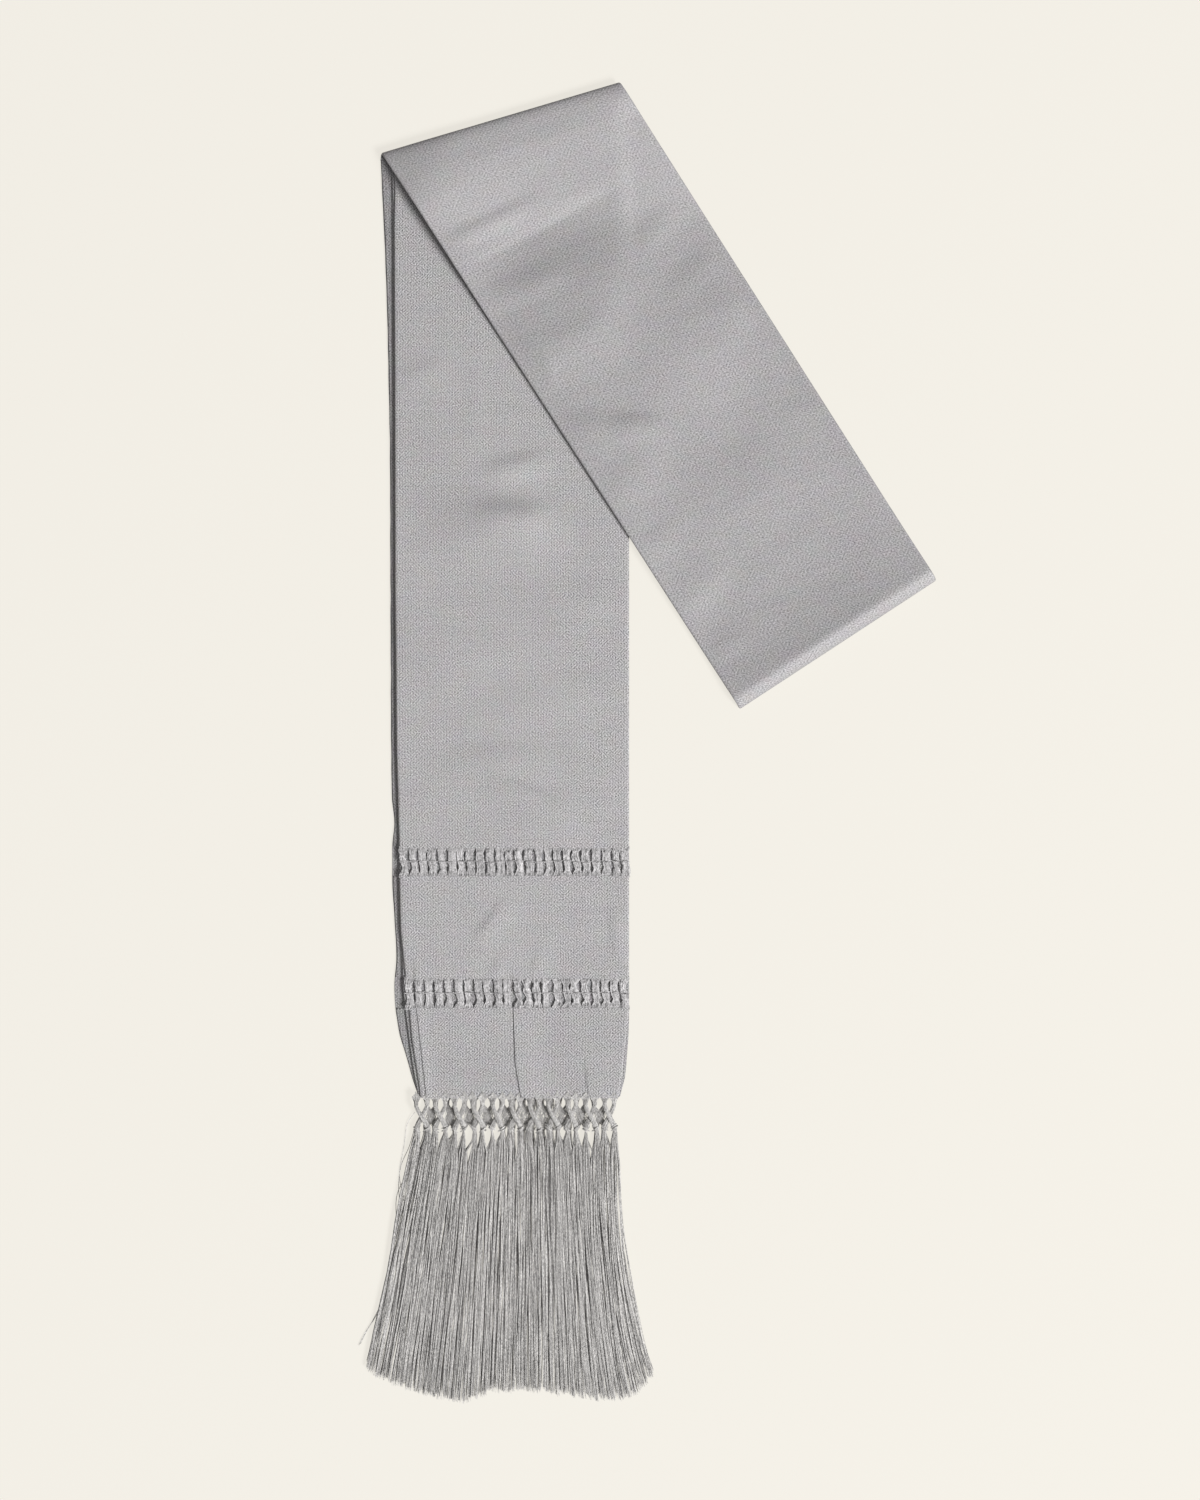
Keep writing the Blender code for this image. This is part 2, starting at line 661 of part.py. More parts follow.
def add_tassel_locks(mesh, knot_x, tassel, chance):
    """The locks of one tassel, in two layers, rooted inside its knot."""
    columns = 2 * PAIRS * TOP_LOCK_COLUMNS
    for root_z, tip_z, shorter in TOP_LOCK_LAYERS:
        for column in range(TOP_LOCK_COLUMNS):
            foot = foot_point((tassel * TOP_LOCK_COLUMNS + column + 0.5) / columns)
            root_x = knot_x + (column - (TOP_LOCK_COLUMNS - 1) / 2.0) * TOP_LOCK_SPACING
            root = Vector((root_x, KNOT_FOOT_Y + LOCK_ROOT_DEPTH, root_z))
            tip = Vector((foot.x, foot.y + shorter + chance.uniform(0.0, RAGGED), tip_z))
            add_lock(mesh, root, tip, TOP_LOCK_ROOT, TOP_LOCK_TIP)


def build_fringe_under(collection, cutters, material):
    """The other end's fringe, flat on the floor under the knotted one, rooted in a narrow strip."""
    chance = random.Random(SEED)
    left, right = strip_line(UNDER_LEFT_X, UNDER_RIGHT_X)
    strip = bmesh.new()
    add_block(strip, left, right, STRIP_LENGTH, STRIP_LENGTH, UNDER_STRIP_HEIGHTS)
    fringe = add_object("fringe_under", strip, collection, material)

    locks = bmesh.new()
    inset = Vector((LOCK_ROOT_DEPTH, 0.0))
    for index in range(UNDER_LOCKS):
        share = (index + 0.5) / UNDER_LOCKS
        foot = foot_point(share)
        root = mix(left + inset, right - inset, share)
        end = Vector((foot.x, foot.y + chance.uniform(0.0, RAGGED)))
        if index == 0:
            end = Vector(STRAY_TIP)
        add_lock(locks, root.to_3d() + Vector((0.0, 0.0, UNDER_LOCK_Z)),
                 end.to_3d() + Vector((0.0, 0.0, UNDER_LOCK_Z)), UNDER_LOCK_ROOT, UNDER_LOCK_TIP)
    join(fringe, "under_locks", locks, cutters)
    return fringe


def main():
    for old in list(bpy.data.objects):
        bpy.data.objects.remove(old, do_unlink=True)
    shawl = bpy.data.collections.new("silk_shawl")
    cutters = bpy.data.collections.new("cutters")
    for collection in (shawl, cutters):
        bpy.context.scene.collection.children.link(collection)
    cloth = new_material("silk_twill", CLOTH_COLOUR, 0.5)
    band = new_material("silk_twill_band", BAND_COLOUR, 0.45)
    shade = new_material("silk_twill_inside", SHADE_COLOUR, 0.55)
    inside = new_material("silk_twill_lower", SHADE_COLOUR, 0.55)
    thread = new_material("silk_fringe", FRINGE_COLOUR, 0.5)
    under_thread = new_material("silk_fringe_under", FRINGE_COLOUR, 0.5)
    build_lower_strand(shawl, inside)
    build_leg_top(shawl, cutters, cloth)
    build_band_inner(shawl, cutters, shade)
    build_outer_cloth(shawl, band)
    build_fringe_top(shawl, cutters, thread)
    build_fringe_under(shawl, cutters, under_thread)


main()
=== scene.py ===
"""A silk shawl laid flat: a long folded leg with drawn-thread bands and a knotted fringe, turned over.

Plan tables are in millimetres and become metres as the points are placed. The shawl rests on z = 0,
with its hem and fringe at the -Y end and the slanted fold at the +Y end.
"""

import logging
import math
from collections.abc import Iterable
from dataclasses import dataclass, field
from enum import Enum

import bpy
import numpy as np
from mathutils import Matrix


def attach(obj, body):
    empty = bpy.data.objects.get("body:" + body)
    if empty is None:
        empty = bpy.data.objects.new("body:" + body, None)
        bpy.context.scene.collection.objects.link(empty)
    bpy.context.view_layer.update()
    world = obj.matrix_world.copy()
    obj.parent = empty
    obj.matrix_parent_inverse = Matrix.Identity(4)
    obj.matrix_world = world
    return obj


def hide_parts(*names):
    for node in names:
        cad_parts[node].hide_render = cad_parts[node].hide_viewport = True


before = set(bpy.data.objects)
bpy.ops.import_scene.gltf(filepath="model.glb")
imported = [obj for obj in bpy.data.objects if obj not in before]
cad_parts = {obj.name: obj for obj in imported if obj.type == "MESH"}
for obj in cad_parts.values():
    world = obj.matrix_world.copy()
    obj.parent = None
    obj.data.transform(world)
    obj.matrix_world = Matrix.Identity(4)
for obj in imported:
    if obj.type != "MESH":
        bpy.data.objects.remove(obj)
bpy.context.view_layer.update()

LOG = logging.getLogger("shawl")
MM = 0.001
BODY = "root"
KEEN_POWER = 1.7
CREASE_ENDS = 1.15
WAVE_SHARES = (1.0, 0.79, 0.62, 0.50, 0.41)
WAVE_SUM = 2.4
THREAD_SHARP = 80.0
GOLDEN_TURN = math.radians(137.5)


def smooth(value: np.ndarray | float) -> np.ndarray:
    """Ease from 0 to 1 with level ends.

    Args:
        value: Where between 0 and 1, clipped to that range.

    Returns:
        The eased value.
    """
    clipped = np.clip(value, 0.0, 1.0)
    return clipped * clipped * (3.0 - 2.0 * clipped)


def mix(first: np.ndarray | float, last: np.ndarray | float, share: np.ndarray | float) -> np.ndarray:
    """Blend two values.

    Args:
        first: The value at a share of 0.
        last: The value at a share of 1.
        share: Where between the two.

    Returns:
        The blend.
    """
    return first + (last - first) * share


def unit(vector: np.ndarray) -> np.ndarray:
    """The vector at a length of 1, along its last axis."""
    return vector / np.maximum(np.linalg.norm(vector, axis=-1, keepdims=True), 1e-12)


@dataclass(frozen=True)
class Crease:
    """A soft ridge in the cloth, or a trough where its rise is below zero, in millimetres.

    Left is the side to the left of the crease's direction, which turns counter-clockwise from +X with
    its angle. A keen crease comes to a line; the others are round.
    """

    x: float
    y: float
    length: float
    angle: float
    left: float
    right: float
    rise: float
    bend: float = 0.0
    keen: bool = False

    def height(self, x: np.ndarray, y: np.ndarray) -> np.ndarray:
        """Height that the crease adds.

        Args:
            x: Plan places.
            y: Plan places.

        Returns:
            The height at each place.
        """
        turn = math.radians(self.angle)
        along = ((x - self.x) * math.cos(turn) + (y - self.y) * math.sin(turn)) / (self.length / 2.0)
        beside = (y - self.y) * math.cos(turn) - (x - self.x) * math.sin(turn)
        beside = beside - self.bend * (1.0 - along * along)
        width = np.where(beside > 0.0, self.left, self.right)
        away = np.clip(np.abs(beside) / width, 0.0, 1.0)
        across = (1.0 - away) ** KEEN_POWER if self.keen else 0.5 + 0.5 * np.cos(math.pi * away)
        return self.rise * across * smooth(CREASE_ENDS * (1.0 - np.abs(along)))


def creased(creases: Iterable[Crease], x: np.ndarray, y: np.ndarray) -> np.ndarray:
    """Height that all of a cloth's creases add together.

    Args:
        creases: The creases.
        x: Plan places.
        y: Plan places.

    Returns:
        The height at each place.
    """
    total = np.zeros_like(x, dtype=float)
    for crease in creases:
        total += crease.height(x, y)
    return total


def undulation(x: np.ndarray, y: np.ndarray, length: float, seed: int) -> np.ndarray:
    """Gentle waviness of cloth that has lain folded: crossing waves of unlike length.

    Args:
        x: Plan places.
        y: Plan places.
        length: About how far apart the swells are.
        seed: Which set of waves.

    Returns:
        A height from about -1 to 1.
    """
    chance = np.random.default_rng(seed)
    total = np.zeros_like(x, dtype=float)
    for share in WAVE_SHARES:
        turn, phase = chance.uniform(0.0, math.tau, 2)
        along = x * math.cos(turn) + y * math.sin(turn)
        total += share * np.sin(math.tau * along / (length * share) + phase)
    return total / WAVE_SUM


# Plan of the leg and of the turned-over band, shared by the cloth and by the layers inside it

@dataclass(frozen=True)
class LegPlan:
    """Outline of the long leg: where each layer's two edges run, from the hem to the slanted fold."""

    hem_y: float = -230.4
    # Height up the leg, left edges of the lower strand, the inner fold and the top layer, right edges of
    # the top layer and the lower strand, and how far the row tilts towards the slanted fold
    rows: tuple[tuple[float, ...], ...] = (
        (-230.4, -149.2, -151.5, -147.6, -19.2, -18.2, 0.00),
        (-218.7, -153.4, -154.4, -149.2, -16.6, -14.3, 0.00),
        (-202.5, -157.6, -156.7, -151.8, -15.3, -13.0, 0.00),
        (-189.5, -161.9, -158.6, -153.7, -13.6, -11.9, 0.00),
        (-173.2, -164.5, -160.6, -155.0, -12.0, -11.7, 0.00),
        (-157.0, -165.4, -162.5, -157.0, -12.0, -11.7, 0.00),
        (-140.7, -163.5, -162.6, -158.6, -12.0, -11.7, 0.00),
        (-121.2, -164.6, -163.6, -160.6, -12.0, -11.7, 0.00),
        (-92.0, -166.4, -164.6, -161.4, -12.0, -11.7, 0.00),
        (-62.7, -166.4, -164.1, -161.5, -12.0, -11.7, 0.00),
        (-51.0, -164.6, -163.8, -162.0, -12.0, -11.7, 0.00),
        (-36.7, -166.7, -164.4, -162.2, -12.0, -11.7, 0.00),
        (-4.2, -167.2, -165.4, -163.2, -12.0, -11.7, 0.00),
        (93.3, -167.7, -166.1, -164.1, -12.0, -11.7, 0.00),
        (190.8, -168.0, -166.4, -164.3, -12.0, -11.7, 0.00),
        (240.0, -168.9, -166.9, -164.4, -12.3, -12.0, 0.25),
        (290.0, -170.0, -167.4, -164.6, -13.6, -13.3, 0.50),
        (335.0, -171.8, -168.4, -164.8, -15.8, -15.5, 0.80),
        (378.6, -174.0, -169.5, -164.0, -19.2, -18.7, 1.00),
    )
    softening: float = 5.0
    fold_slope: float = (430.0 - 383.8) / (173.2 - 17.9)

    def column(self, y: np.ndarray, index: int) -> np.ndarray:
        """A column of the table, read softly between its rows.

        Args:
            y: Places up the leg.
            index: Which column.

        Returns:
            The column's value at each place.
        """
        table = np.array(self.rows)
        reads = [np.interp(y + shift * self.softening, table[:, 0], table[:, index])
                 for shift in (-1.0, 0.0, 1.0)]
        return 0.25 * reads[0] + 0.5 * reads[1] + 0.25 * reads[2]

    def raised(self, y: np.ndarray, x: np.ndarray) -> np.ndarray:
        """Height up the leg of a row at x: the rows turn towards the slanted fold near the leg's end.

        Args:
            y: Each row's place at the left edge.
            x: The places along the row.

        Returns:
            The y of each place.
        """
        from_left = x - self.column(y, Edge.LOWER_LEFT.value)
        return y + self.column(y, Edge.TILT.value) * self.fold_slope * from_left


class Edge(Enum):
    """Columns of the leg's table."""

    LOWER_LEFT = 1
    INNER_LEFT = 2
    TOP_LEFT = 3
    TOP_RIGHT = 4
    LOWER_RIGHT = 5
    TILT = 6


@dataclass(frozen=True)
class BandPlan:
    """Outline and height of the turned-over band, from the slanted fold to its soft rolled end."""

    leg: LegPlan = LegPlan()
    fold_left: tuple[float, float] = (-173.2, 383.8)
    fold_right: tuple[float, float] = (-17.9, 430.0)
    end_left: tuple[float, float] = (60.1, 22.4)
    end_right: tuple[float, float] = (188.2, 106.3)
    fold_radius: float = 4.65
    fold_reach: float = 16.0
    roll_reach: float = 9.0
    outside: float = 9.3
    over_leg: float = 5.2
    lift: float = 8.0
    lift_start: float = -4.0
    lift_rise: float = 52.0
    lift_fall: float = 100.0
    lift_width: float = 66.0
    drop_start: float = -6.0
    drop_width: float = 15.0
    drop_share: float = 0.36
    drop_length: float = 190.0
    ease_start: float = -24.0
    ease_width: float = 95.0
    drop_setback: float = 4.8
    drop_ease: float = 22.0
    swell: float = 6.1
    swell_length: float = 52.0
    swell_power: float = 1.9
    swell_at_sides: float = 0.35

    @property
    def left(self) -> np.ndarray:
        """The fold's left end."""
        return np.array(self.fold_left)

    @property
    def line(self) -> np.ndarray:
        """Direction of the slanted fold, from left to right."""
        return unit(np.array(self.fold_right) - self.left)

    @property
    def inward(self) -> np.ndarray:
        """Direction from the fold's edge towards the cloth."""
        return np.array((self.line[1], -self.line[0]))

    @property
    def along(self) -> np.ndarray:
        """Direction of the band, from the fold to its end."""
        ends = np.array(self.end_left) + np.array(self.end_right)
        return unit(ends - self.left - np.array(self.fold_right))

    @property
    def across(self) -> np.ndarray:
        """Direction over the band, from its left edge to its right."""
        return np.array((-self.along[1], self.along[0]))

    @property
    def width(self) -> float:
        """Width of the band."""
        return float(np.linalg.norm(np.array(self.end_right) - np.array(self.end_left)))

    @property
    def helix(self) -> float:
        """How far the cloth slides along the fold for each step in from its edge."""
        return float(self.along @ self.line / (self.along @ self.inward))

    def past_leg(self, x: np.ndarray, y: np.ndarray) -> np.ndarray:
        """Distance to the right of the leg's right edge.

        Args:
            x: Plan places.
            y: Plan places.

        Returns:
            The distance, negative over the leg.
        """
        ys = np.array([row[0] for row in self.leg.rows])
        xs = self.leg.column(ys, Edge.LOWER_RIGHT.value)
        return x - np.interp(y, self.leg.raised(ys, xs), xs)

    def top(self, x: np.ndarray, y: np.ndarray) -> np.ndarray:
        """Height of the band's outer surface without its creases.

        Args:
            x: Plan places.
            y: Plan places.

        Returns:
            The height above the surface that the shawl lies on.
        """
        return self.outside + self.rise(x, y) + self.puff(x, y)

    def rise(self, x: np.ndarray, y: np.ndarray) -> np.ndarray:
        """What the band gains where it stands off the leg, less what it loses where it falls past it.

        Args:
            x: Plan places.
            y: Plan places.

        Returns:
            The change of height.
        """
        side, down = self.measures(x, y)
        start = smooth((down - self.lift_start) / self.lift_rise)
        fall = 1.0 - smooth((down - self.lift_start - self.lift_rise) / self.lift_fall)
        lifted = self.lift * start * fall * (1.0 - smooth(side / self.lift_width))
        from_fold = (x - self.left[0]) * self.inward[0] + (y - self.left[1]) * self.inward[1]
        past = self.past_leg(x, y)
        step = self.drop_share * (1.0 - smooth(down / self.drop_length))
        fallen = mix(smooth((past - self.ease_start) / self.ease_width),
                     smooth((past - self.drop_start) / self.drop_width), step)
        return lifted - self.over_leg * fallen * smooth((from_fold - self.drop_setback) / self.drop_ease)

    def puff(self, x: np.ndarray, y: np.ndarray) -> np.ndarray:
        """Height that the band gains towards its soft rolled end.

        Args:
            x: Plan places.
            y: Plan places.

        Returns:
            The gain.
        """
        side, down = self.measures(x, y)
        end = (np.array(self.end_left) - self.left) @ self.along - self.roll_reach
        middle = 1.0 - self.swell_at_sides * (2.0 * side / self.width - 1.0) ** 2
        near_end = np.clip((down - end + self.swell_length) / self.swell_length, 0.0, 1.0)
        return self.swell * middle * near_end ** self.swell_power

    def measures(self, x: np.ndarray, y: np.ndarray) -> tuple[np.ndarray, np.ndarray]:
        """Distance over the band from its left edge, and down it from the fold's left end.

        Args:
            x: Plan places.
            y: Plan places.

        Returns:
            The two distances.
        """
        dx, dy = x - self.left[0], y - self.left[1]
        return dx * self.across[0] + dy * self.across[1], dx * self.along[0] + dy * self.along[1]


# Meshes

class Draft:
    """Points, faces and texture places of a piece, gathered patch by patch in millimetres."""

    def __init__(self) -> None:
        """Start empty."""
        self.points: list[np.ndarray] = []
        self.quads: list[np.ndarray] = []
        self.places: list[np.ndarray] = []
        self.count = 0

    def add(self, points: np.ndarray, quads: np.ndarray, places: np.ndarray) -> None:
        """Add one patch.

        Args:
            points: Its points, one to a row.
            quads: Its faces, as numbers of its own points.
            places: The texture place of each point.
        """
        self.points.append(points.reshape(-1, 3))
        self.quads.append(quads.reshape(-1, 4) + self.count)
        self.places.append(places.reshape(-1, 2))
        self.count += len(self.points[-1])

    def add_shell(self, outer: np.ndarray, inner: np.ndarray, places: np.ndarray) -> None:
        """Add a closed shell of cloth from the grids of its two faces.

        Args:
            outer: Points of the upper face, row by row.
            inner: Points of the lower face, row by row.
            places: Texture places of the grid.
        """
        rows, columns = outer.shape[:2]
        number = np.arange(rows * columns).reshape(rows, columns)
        face = np.stack((number[:-1, :-1], number[:-1, 1:], number[1:, 1:], number[1:, :-1]), -1)
        face = face.reshape(-1, 4)
        back = face[:, ::-1] + rows * columns
        rim = np.concatenate((number[0, :-1], number[:-1, -1], number[-1, :0:-1], number[:0:-1, 0]))
        after = np.roll(rim, -1)
        wall = np.stack((after, rim, rim + rows * columns, after + rows * columns), -1)
        quads = np.concatenate((face, back, wall))
        middle_row, middle_column = rows // 2, columns // 2
        corner = outer[middle_row, middle_column]
        over = outer[middle_row, min(middle_column + 1, columns - 1)] - corner
        up = outer[min(middle_row + 1, rows - 1), middle_column] - corner
        if over[0] * up[1] - over[1] * up[0] < 0.0:
            quads = quads[:, ::-1]
        self.add(np.stack((outer, inner)), quads, np.stack((places, places)))

    def add_tubes(self, paths: np.ndarray, radii: np.ndarray, numbers: np.ndarray,
                  reference: np.ndarray | None = None, sides: int = 4) -> None:
        """Add closed tubes that all have as many stations.

        Args:
            paths: Tube, station and X, Y, Z of the points that the tubes follow.
            radii: Tube and station of the radii.
            numbers: A number for each tube, kept as its texture place.
            reference: Directions for the first corner of each ring; up where left out.
            sides: How many corners a ring has; 4 closes its ends with one face.
        """
        tubes, stations = paths.shape[:2]
        tangent = unit(np.gradient(paths, axis=1))
        up = np.zeros_like(paths)
        up[..., 2] = 1.0
        if reference is not None:
            up = np.broadcast_to(reference, paths.shape)
        side = unit(np.cross(tangent, up))
        top = np.cross(side, tangent)
        turns = (np.arange(sides) + 0.5) * math.tau / sides
        ring = (np.cos(turns)[:, None] * side[:, :, None] + np.sin(turns)[:, None] * top[:, :, None])
        points = paths[:, :, None] + ring * radii[:, :, None, None]
        number = np.arange(tubes * stations * sides).reshape(tubes, stations, sides)
        after = np.roll(number, -1, axis=2)
        walls = np.stack((number[:, :-1], number[:, 1:], after[:, 1:], after[:, :-1]), -1).reshape(-1, 4)
        caps = np.concatenate((number[:, 0, :4], number[:, -1, 3::-1]))
        steps = np.linalg.norm(np.diff(paths, axis=1), axis=-1)
        lengths = np.concatenate((np.zeros((tubes, 1)), np.cumsum(steps, axis=1)), axis=1) * MM
        along = lengths[:, :, None] + np.zeros(sides)
        places = np.stack(np.broadcast_arrays(numbers[:, None, None], along), -1)
        self.add(points, np.concatenate((walls, caps)), places)

    def build(self, name: str, material: bpy.types.Material, sharp: float = 50.0) -> bpy.types.Object:
        """Make the piece.

        Args:
            name: The piece's name.
            material: Its finish.
            sharp: Angle in degrees over which an edge isn't shaded smooth.

        Returns:
            The new object, linked to the scene and riding on the shawl.
        """
        mesh = bpy.data.meshes.new(name)
        points, quads = np.concatenate(self.points) * MM, np.concatenate(self.quads)
        mesh.from_pydata(points.tolist(), [], quads.tolist())
        layer = mesh.uv_layers.new(name="cloth")
        corners = np.empty(len(mesh.loops), dtype=np.int32)
        mesh.loops.foreach_get("vertex_index", corners)
        layer.data.foreach_set("uv", np.concatenate(self.places)[corners].astype(np.float32).ravel())
        mesh.shade_smooth()
        mesh.set_sharp_from_angle(angle=math.radians(sharp))
        mesh.materials.append(material)
        piece = bpy.data.objects.new(name, mesh)
        bpy.context.scene.collection.objects.link(piece)
        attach(piece, BODY)
        return piece


# Finishes

class Wiring:
    """Adds nodes to a node tree and joins them."""

    def __init__(self, tree: bpy.types.NodeTree) -> None:
        """Work in a tree."""
        self.tree = tree

    def node(self, kind: str, inputs: dict[str | int, object] | None = None,
             **settings: object) -> bpy.types.Node:
        """Add a node.

        Args:
            kind: Its type.
            inputs: What each of its inputs takes: a number, a colour or another node's output.
            settings: The node's own settings.

        Returns:
            The node.
        """
        added = self.tree.nodes.new(kind)
        for name, value in settings.items():
            setattr(added, name, value)
        for name, value in (inputs or {}).items():
            self.feed(added.inputs[name], value)
        return added

    def feed(self, socket: bpy.types.NodeSocket, value: object) -> None:
        """Give an input its value, or join an output to it.

        Args:
            socket: The input.
            value: A number, a colour or an output.
        """
        if isinstance(value, bpy.types.NodeSocket):
            self.tree.links.new(value, socket)
        else:
            socket.default_value = value

    def math(self, operation: str, *values: object) -> bpy.types.NodeSocket:
        """Add a sum.

        Args:
            operation: Which one.
            values: Its one to three inputs.

        Returns:
            The result.
        """
        return self.node("ShaderNodeMath", dict(enumerate(values)), operation=operation).outputs[0]

    def place(self) -> bpy.types.NodeSocket:
        """Add the cloth's own places, in metres along its weft and its warp."""
        return self.node("ShaderNodeUVMap", uv_map="cloth").outputs[0]

    def noise(self, place: bpy.types.NodeSocket, detail: float, size: bpy.types.NodeSocket
              ) -> bpy.types.NodeSocket:
        """Add a soft noise.

        Args:
            place: Where it is read.
            detail: How many finer noises it has.
            size: About how large its patches are, in millimetres.

        Returns:
            The noise, from 0 to 1.
        """
        scale = self.math("DIVIDE", 1.0 / MM, size)
        inputs = {"Vector": place, "Detail": detail, "Scale": scale}
        return self.node("ShaderNodeTexNoise", inputs).outputs[0]

    def around(self, mask: bpy.types.NodeSocket, spread: float, base: object) -> bpy.types.NodeSocket:
        """Move a value up and down with a mask.

        Args:
            mask: The mask, from 0 to 1.
            spread: How far the value moves from one end of the mask to the other.
            base: The value at the mask's middle.

        Returns:
            The moved value.
        """
        return self.math("MULTIPLY_ADD", self.math("SUBTRACT", mask, 0.5), spread, base)

    def effect(self, group: bpy.types.NodeTree, values: dict[str | int, object] | None = None
               ) -> bpy.types.Node:
        """Place a shared effect.

        Args:
            group: The effect.
            values: What its inputs take.

        Returns:
            Its node.
        """
        return self.node("ShaderNodeGroup", values, node_tree=group)


@dataclass
class EffectGroups:
    """The effects that the finishes share, each a node group that is built once."""

    wander_scale: float = 0.11
    wander_reach: float = 1.1
    lean_edges: tuple[float, float] = (0.42, 0.58)
    upright_rate: float = 1.14
    upright_share: float = 0.45
    grain_gain: float = 6.0
    bar_stretch: float = 0.06
    painted_light_slant: float = -0.21
    tint_scale: float = 0.1
    crimp_offsets: float = 900.0
    twist_offsets: float = 20.0
    weave: bpy.types.NodeTree = field(init=False)
    tone: bpy.types.NodeTree = field(init=False)
    strand: bpy.types.NodeTree = field(init=False)

    def __post_init__(self) -> None:
        """Build them all."""
        self.weave = self.build_weave()
        self.tone = self.build_tone()
        self.strand = self.build_strand()

    @staticmethod
    def open_group(name: str, inputs: dict[str, float], outputs: tuple[str, ...]
                   ) -> tuple[bpy.types.NodeTree, Wiring, bpy.types.Node, bpy.types.Node]:
        """Start a group with plain number inputs.

        Args:
            name: The group's name.
            inputs: Its inputs with the values that they start with.
            outputs: Its outputs.

        Returns:
            The group, its wiring, and the nodes of its inputs and outputs.
        """
        group = bpy.data.node_groups.new(name, "ShaderNodeTree")
        for label, value in inputs.items():
            socket = group.interface.new_socket(label, in_out="INPUT", socket_type="NodeSocketFloat")
            socket.default_value = value
        for label in outputs:
            group.interface.new_socket(label, in_out="OUTPUT", socket_type="NodeSocketFloat")
        wiring = Wiring(group)
        return group, wiring, wiring.node("NodeGroupInput"), wiring.node("NodeGroupOutput")

    def build_weave(self) -> bpy.types.NodeTree:
        """Fine twill: diagonal ribs that lean one way or the other, upright ribs, and uneven threads.

        Returns:
            The group, whose Height is from about 0 to 1.
        """
        group, wiring, given, result = self.open_group(
            "twill_weave", {"Pitch": 1.35, "Unevenness": 0.5, "Patch": 4.5, "Grain": 0.8}, ("Height",))
        place = wiring.place()
        wander = wiring.node("ShaderNodeTexNoise", {
            "Vector": place, "Detail": 0.0, "Scale": self.wander_scale / MM})
        reach = (self.wander_reach * MM,) * 3
        bent = wiring.node("ShaderNodeVectorMath", {
            0: wander.outputs["Color"], 1: reach, 2: place}, operation="MULTIPLY_ADD")
        split = wiring.node("ShaderNodeSeparateXYZ", {0: bent.outputs[0]})
        rate = wiring.math("DIVIDE", math.tau / math.sqrt(2.0) / MM, given.outputs["Pitch"])
        waves = []
        for operation in ("ADD", "SUBTRACT"):
            lean = wiring.math(operation, split.outputs[0], split.outputs[1])
            waves.append(wiring.math("SINE", wiring.math("MULTIPLY", lean, rate)))
        choice = wiring.node("ShaderNodeMapRange", {
            "Value": wiring.noise(place, 1.0, given.outputs["Patch"]),
            "From Min": self.lean_edges[0], "From Max": self.lean_edges[1]})
        ribs = wiring.node("ShaderNodeMix", {"Factor": choice.outputs[0], "A": waves[0], "B": waves[1]})
        across = wiring.math("MULTIPLY", split.outputs[0], rate)
        upright = wiring.math("SINE", wiring.math("MULTIPLY", across, self.upright_rate))
        woven = wiring.math("MULTIPLY_ADD", upright, self.upright_share, ribs.outputs[0])
        grain = wiring.noise(place, 2.0, given.outputs["Grain"])
        rough = wiring.math("MULTIPLY", wiring.math("SUBTRACT", grain, 0.5), self.grain_gain)
        both = wiring.node("ShaderNodeMix", {"Factor": given.outputs["Unevenness"], "A": woven, "B": rough})
        wiring.feed(result.inputs["Height"], wiring.math("MULTIPLY_ADD", both.outputs[0], 0.5, 0.5))
        return group

    def build_tone(self) -> bpy.types.NodeTree:
        """Slow change of tone over the cloth, with faint bands where its weft was beaten unevenly, and a
        mask for painted light and shade.

        Returns:
            The group: a Tone from 0 to 1, a Pale mask that ends along the cloth, and a Tint that changes
            from patch to patch, around 0. The Pale mask marks where a finish lays painted light and shade on
            its colour.
        """
        group, wiring, given, result = self.open_group(
            "cloth_tone", {"Cloud": 70.0, "Bar": 4.0, "Painted Light Start": 58.0, "Painted Light End": 92.0},
            ("Tone", "Painted Light"))
        group.interface.new_socket("Tint", in_out="OUTPUT", socket_type="NodeSocketVector")
        place = wiring.place()
        split = wiring.node("ShaderNodeSeparateXYZ", {0: place})
        flat = wiring.node("ShaderNodeCombineXYZ", {
            0: wiring.math("MULTIPLY", split.outputs[0], self.bar_stretch), 1: split.outputs[1]})
        cloud = wiring.noise(place, 3.0, given.outputs["Cloud"])
        bars = wiring.noise(flat.outputs[0], 2.0, given.outputs["Bar"])
        wiring.feed(result.inputs["Tone"], wiring.math("MULTIPLY", wiring.math("ADD", cloud, bars), 0.5))
        # Painted light and shade: a mask that is 1 before the start and eases to 0 at the end, measured
        # along the cloth and slanted a little across it.
        length = wiring.math("DIVIDE", split.outputs[1], MM)
        along = wiring.math("MULTIPLY_ADD", split.outputs[0], self.painted_light_slant / MM, length)
        painted_light = wiring.node("ShaderNodeMapRange", {
            "Value": along, "From Min": given.outputs["Painted Light Start"], "From Max": given.outputs["Painted Light End"],
            "To Min": 1.0, "To Max": 0.0}, interpolation_type="SMOOTHSTEP")
        wiring.feed(result.inputs["Painted Light"], painted_light.outputs[0])
        hue = wiring.node("ShaderNodeTexNoise", {
            "Vector": place, "Detail": 1.0, "Scale": self.tint_scale / MM})
        tint = wiring.node("ShaderNodeVectorMath", {
            0: hue.outputs["Color"], 1: (0.5,) * 3}, operation="SUBTRACT")
        wiring.feed(result.inputs["Tint"], tint.outputs[0])
        return group

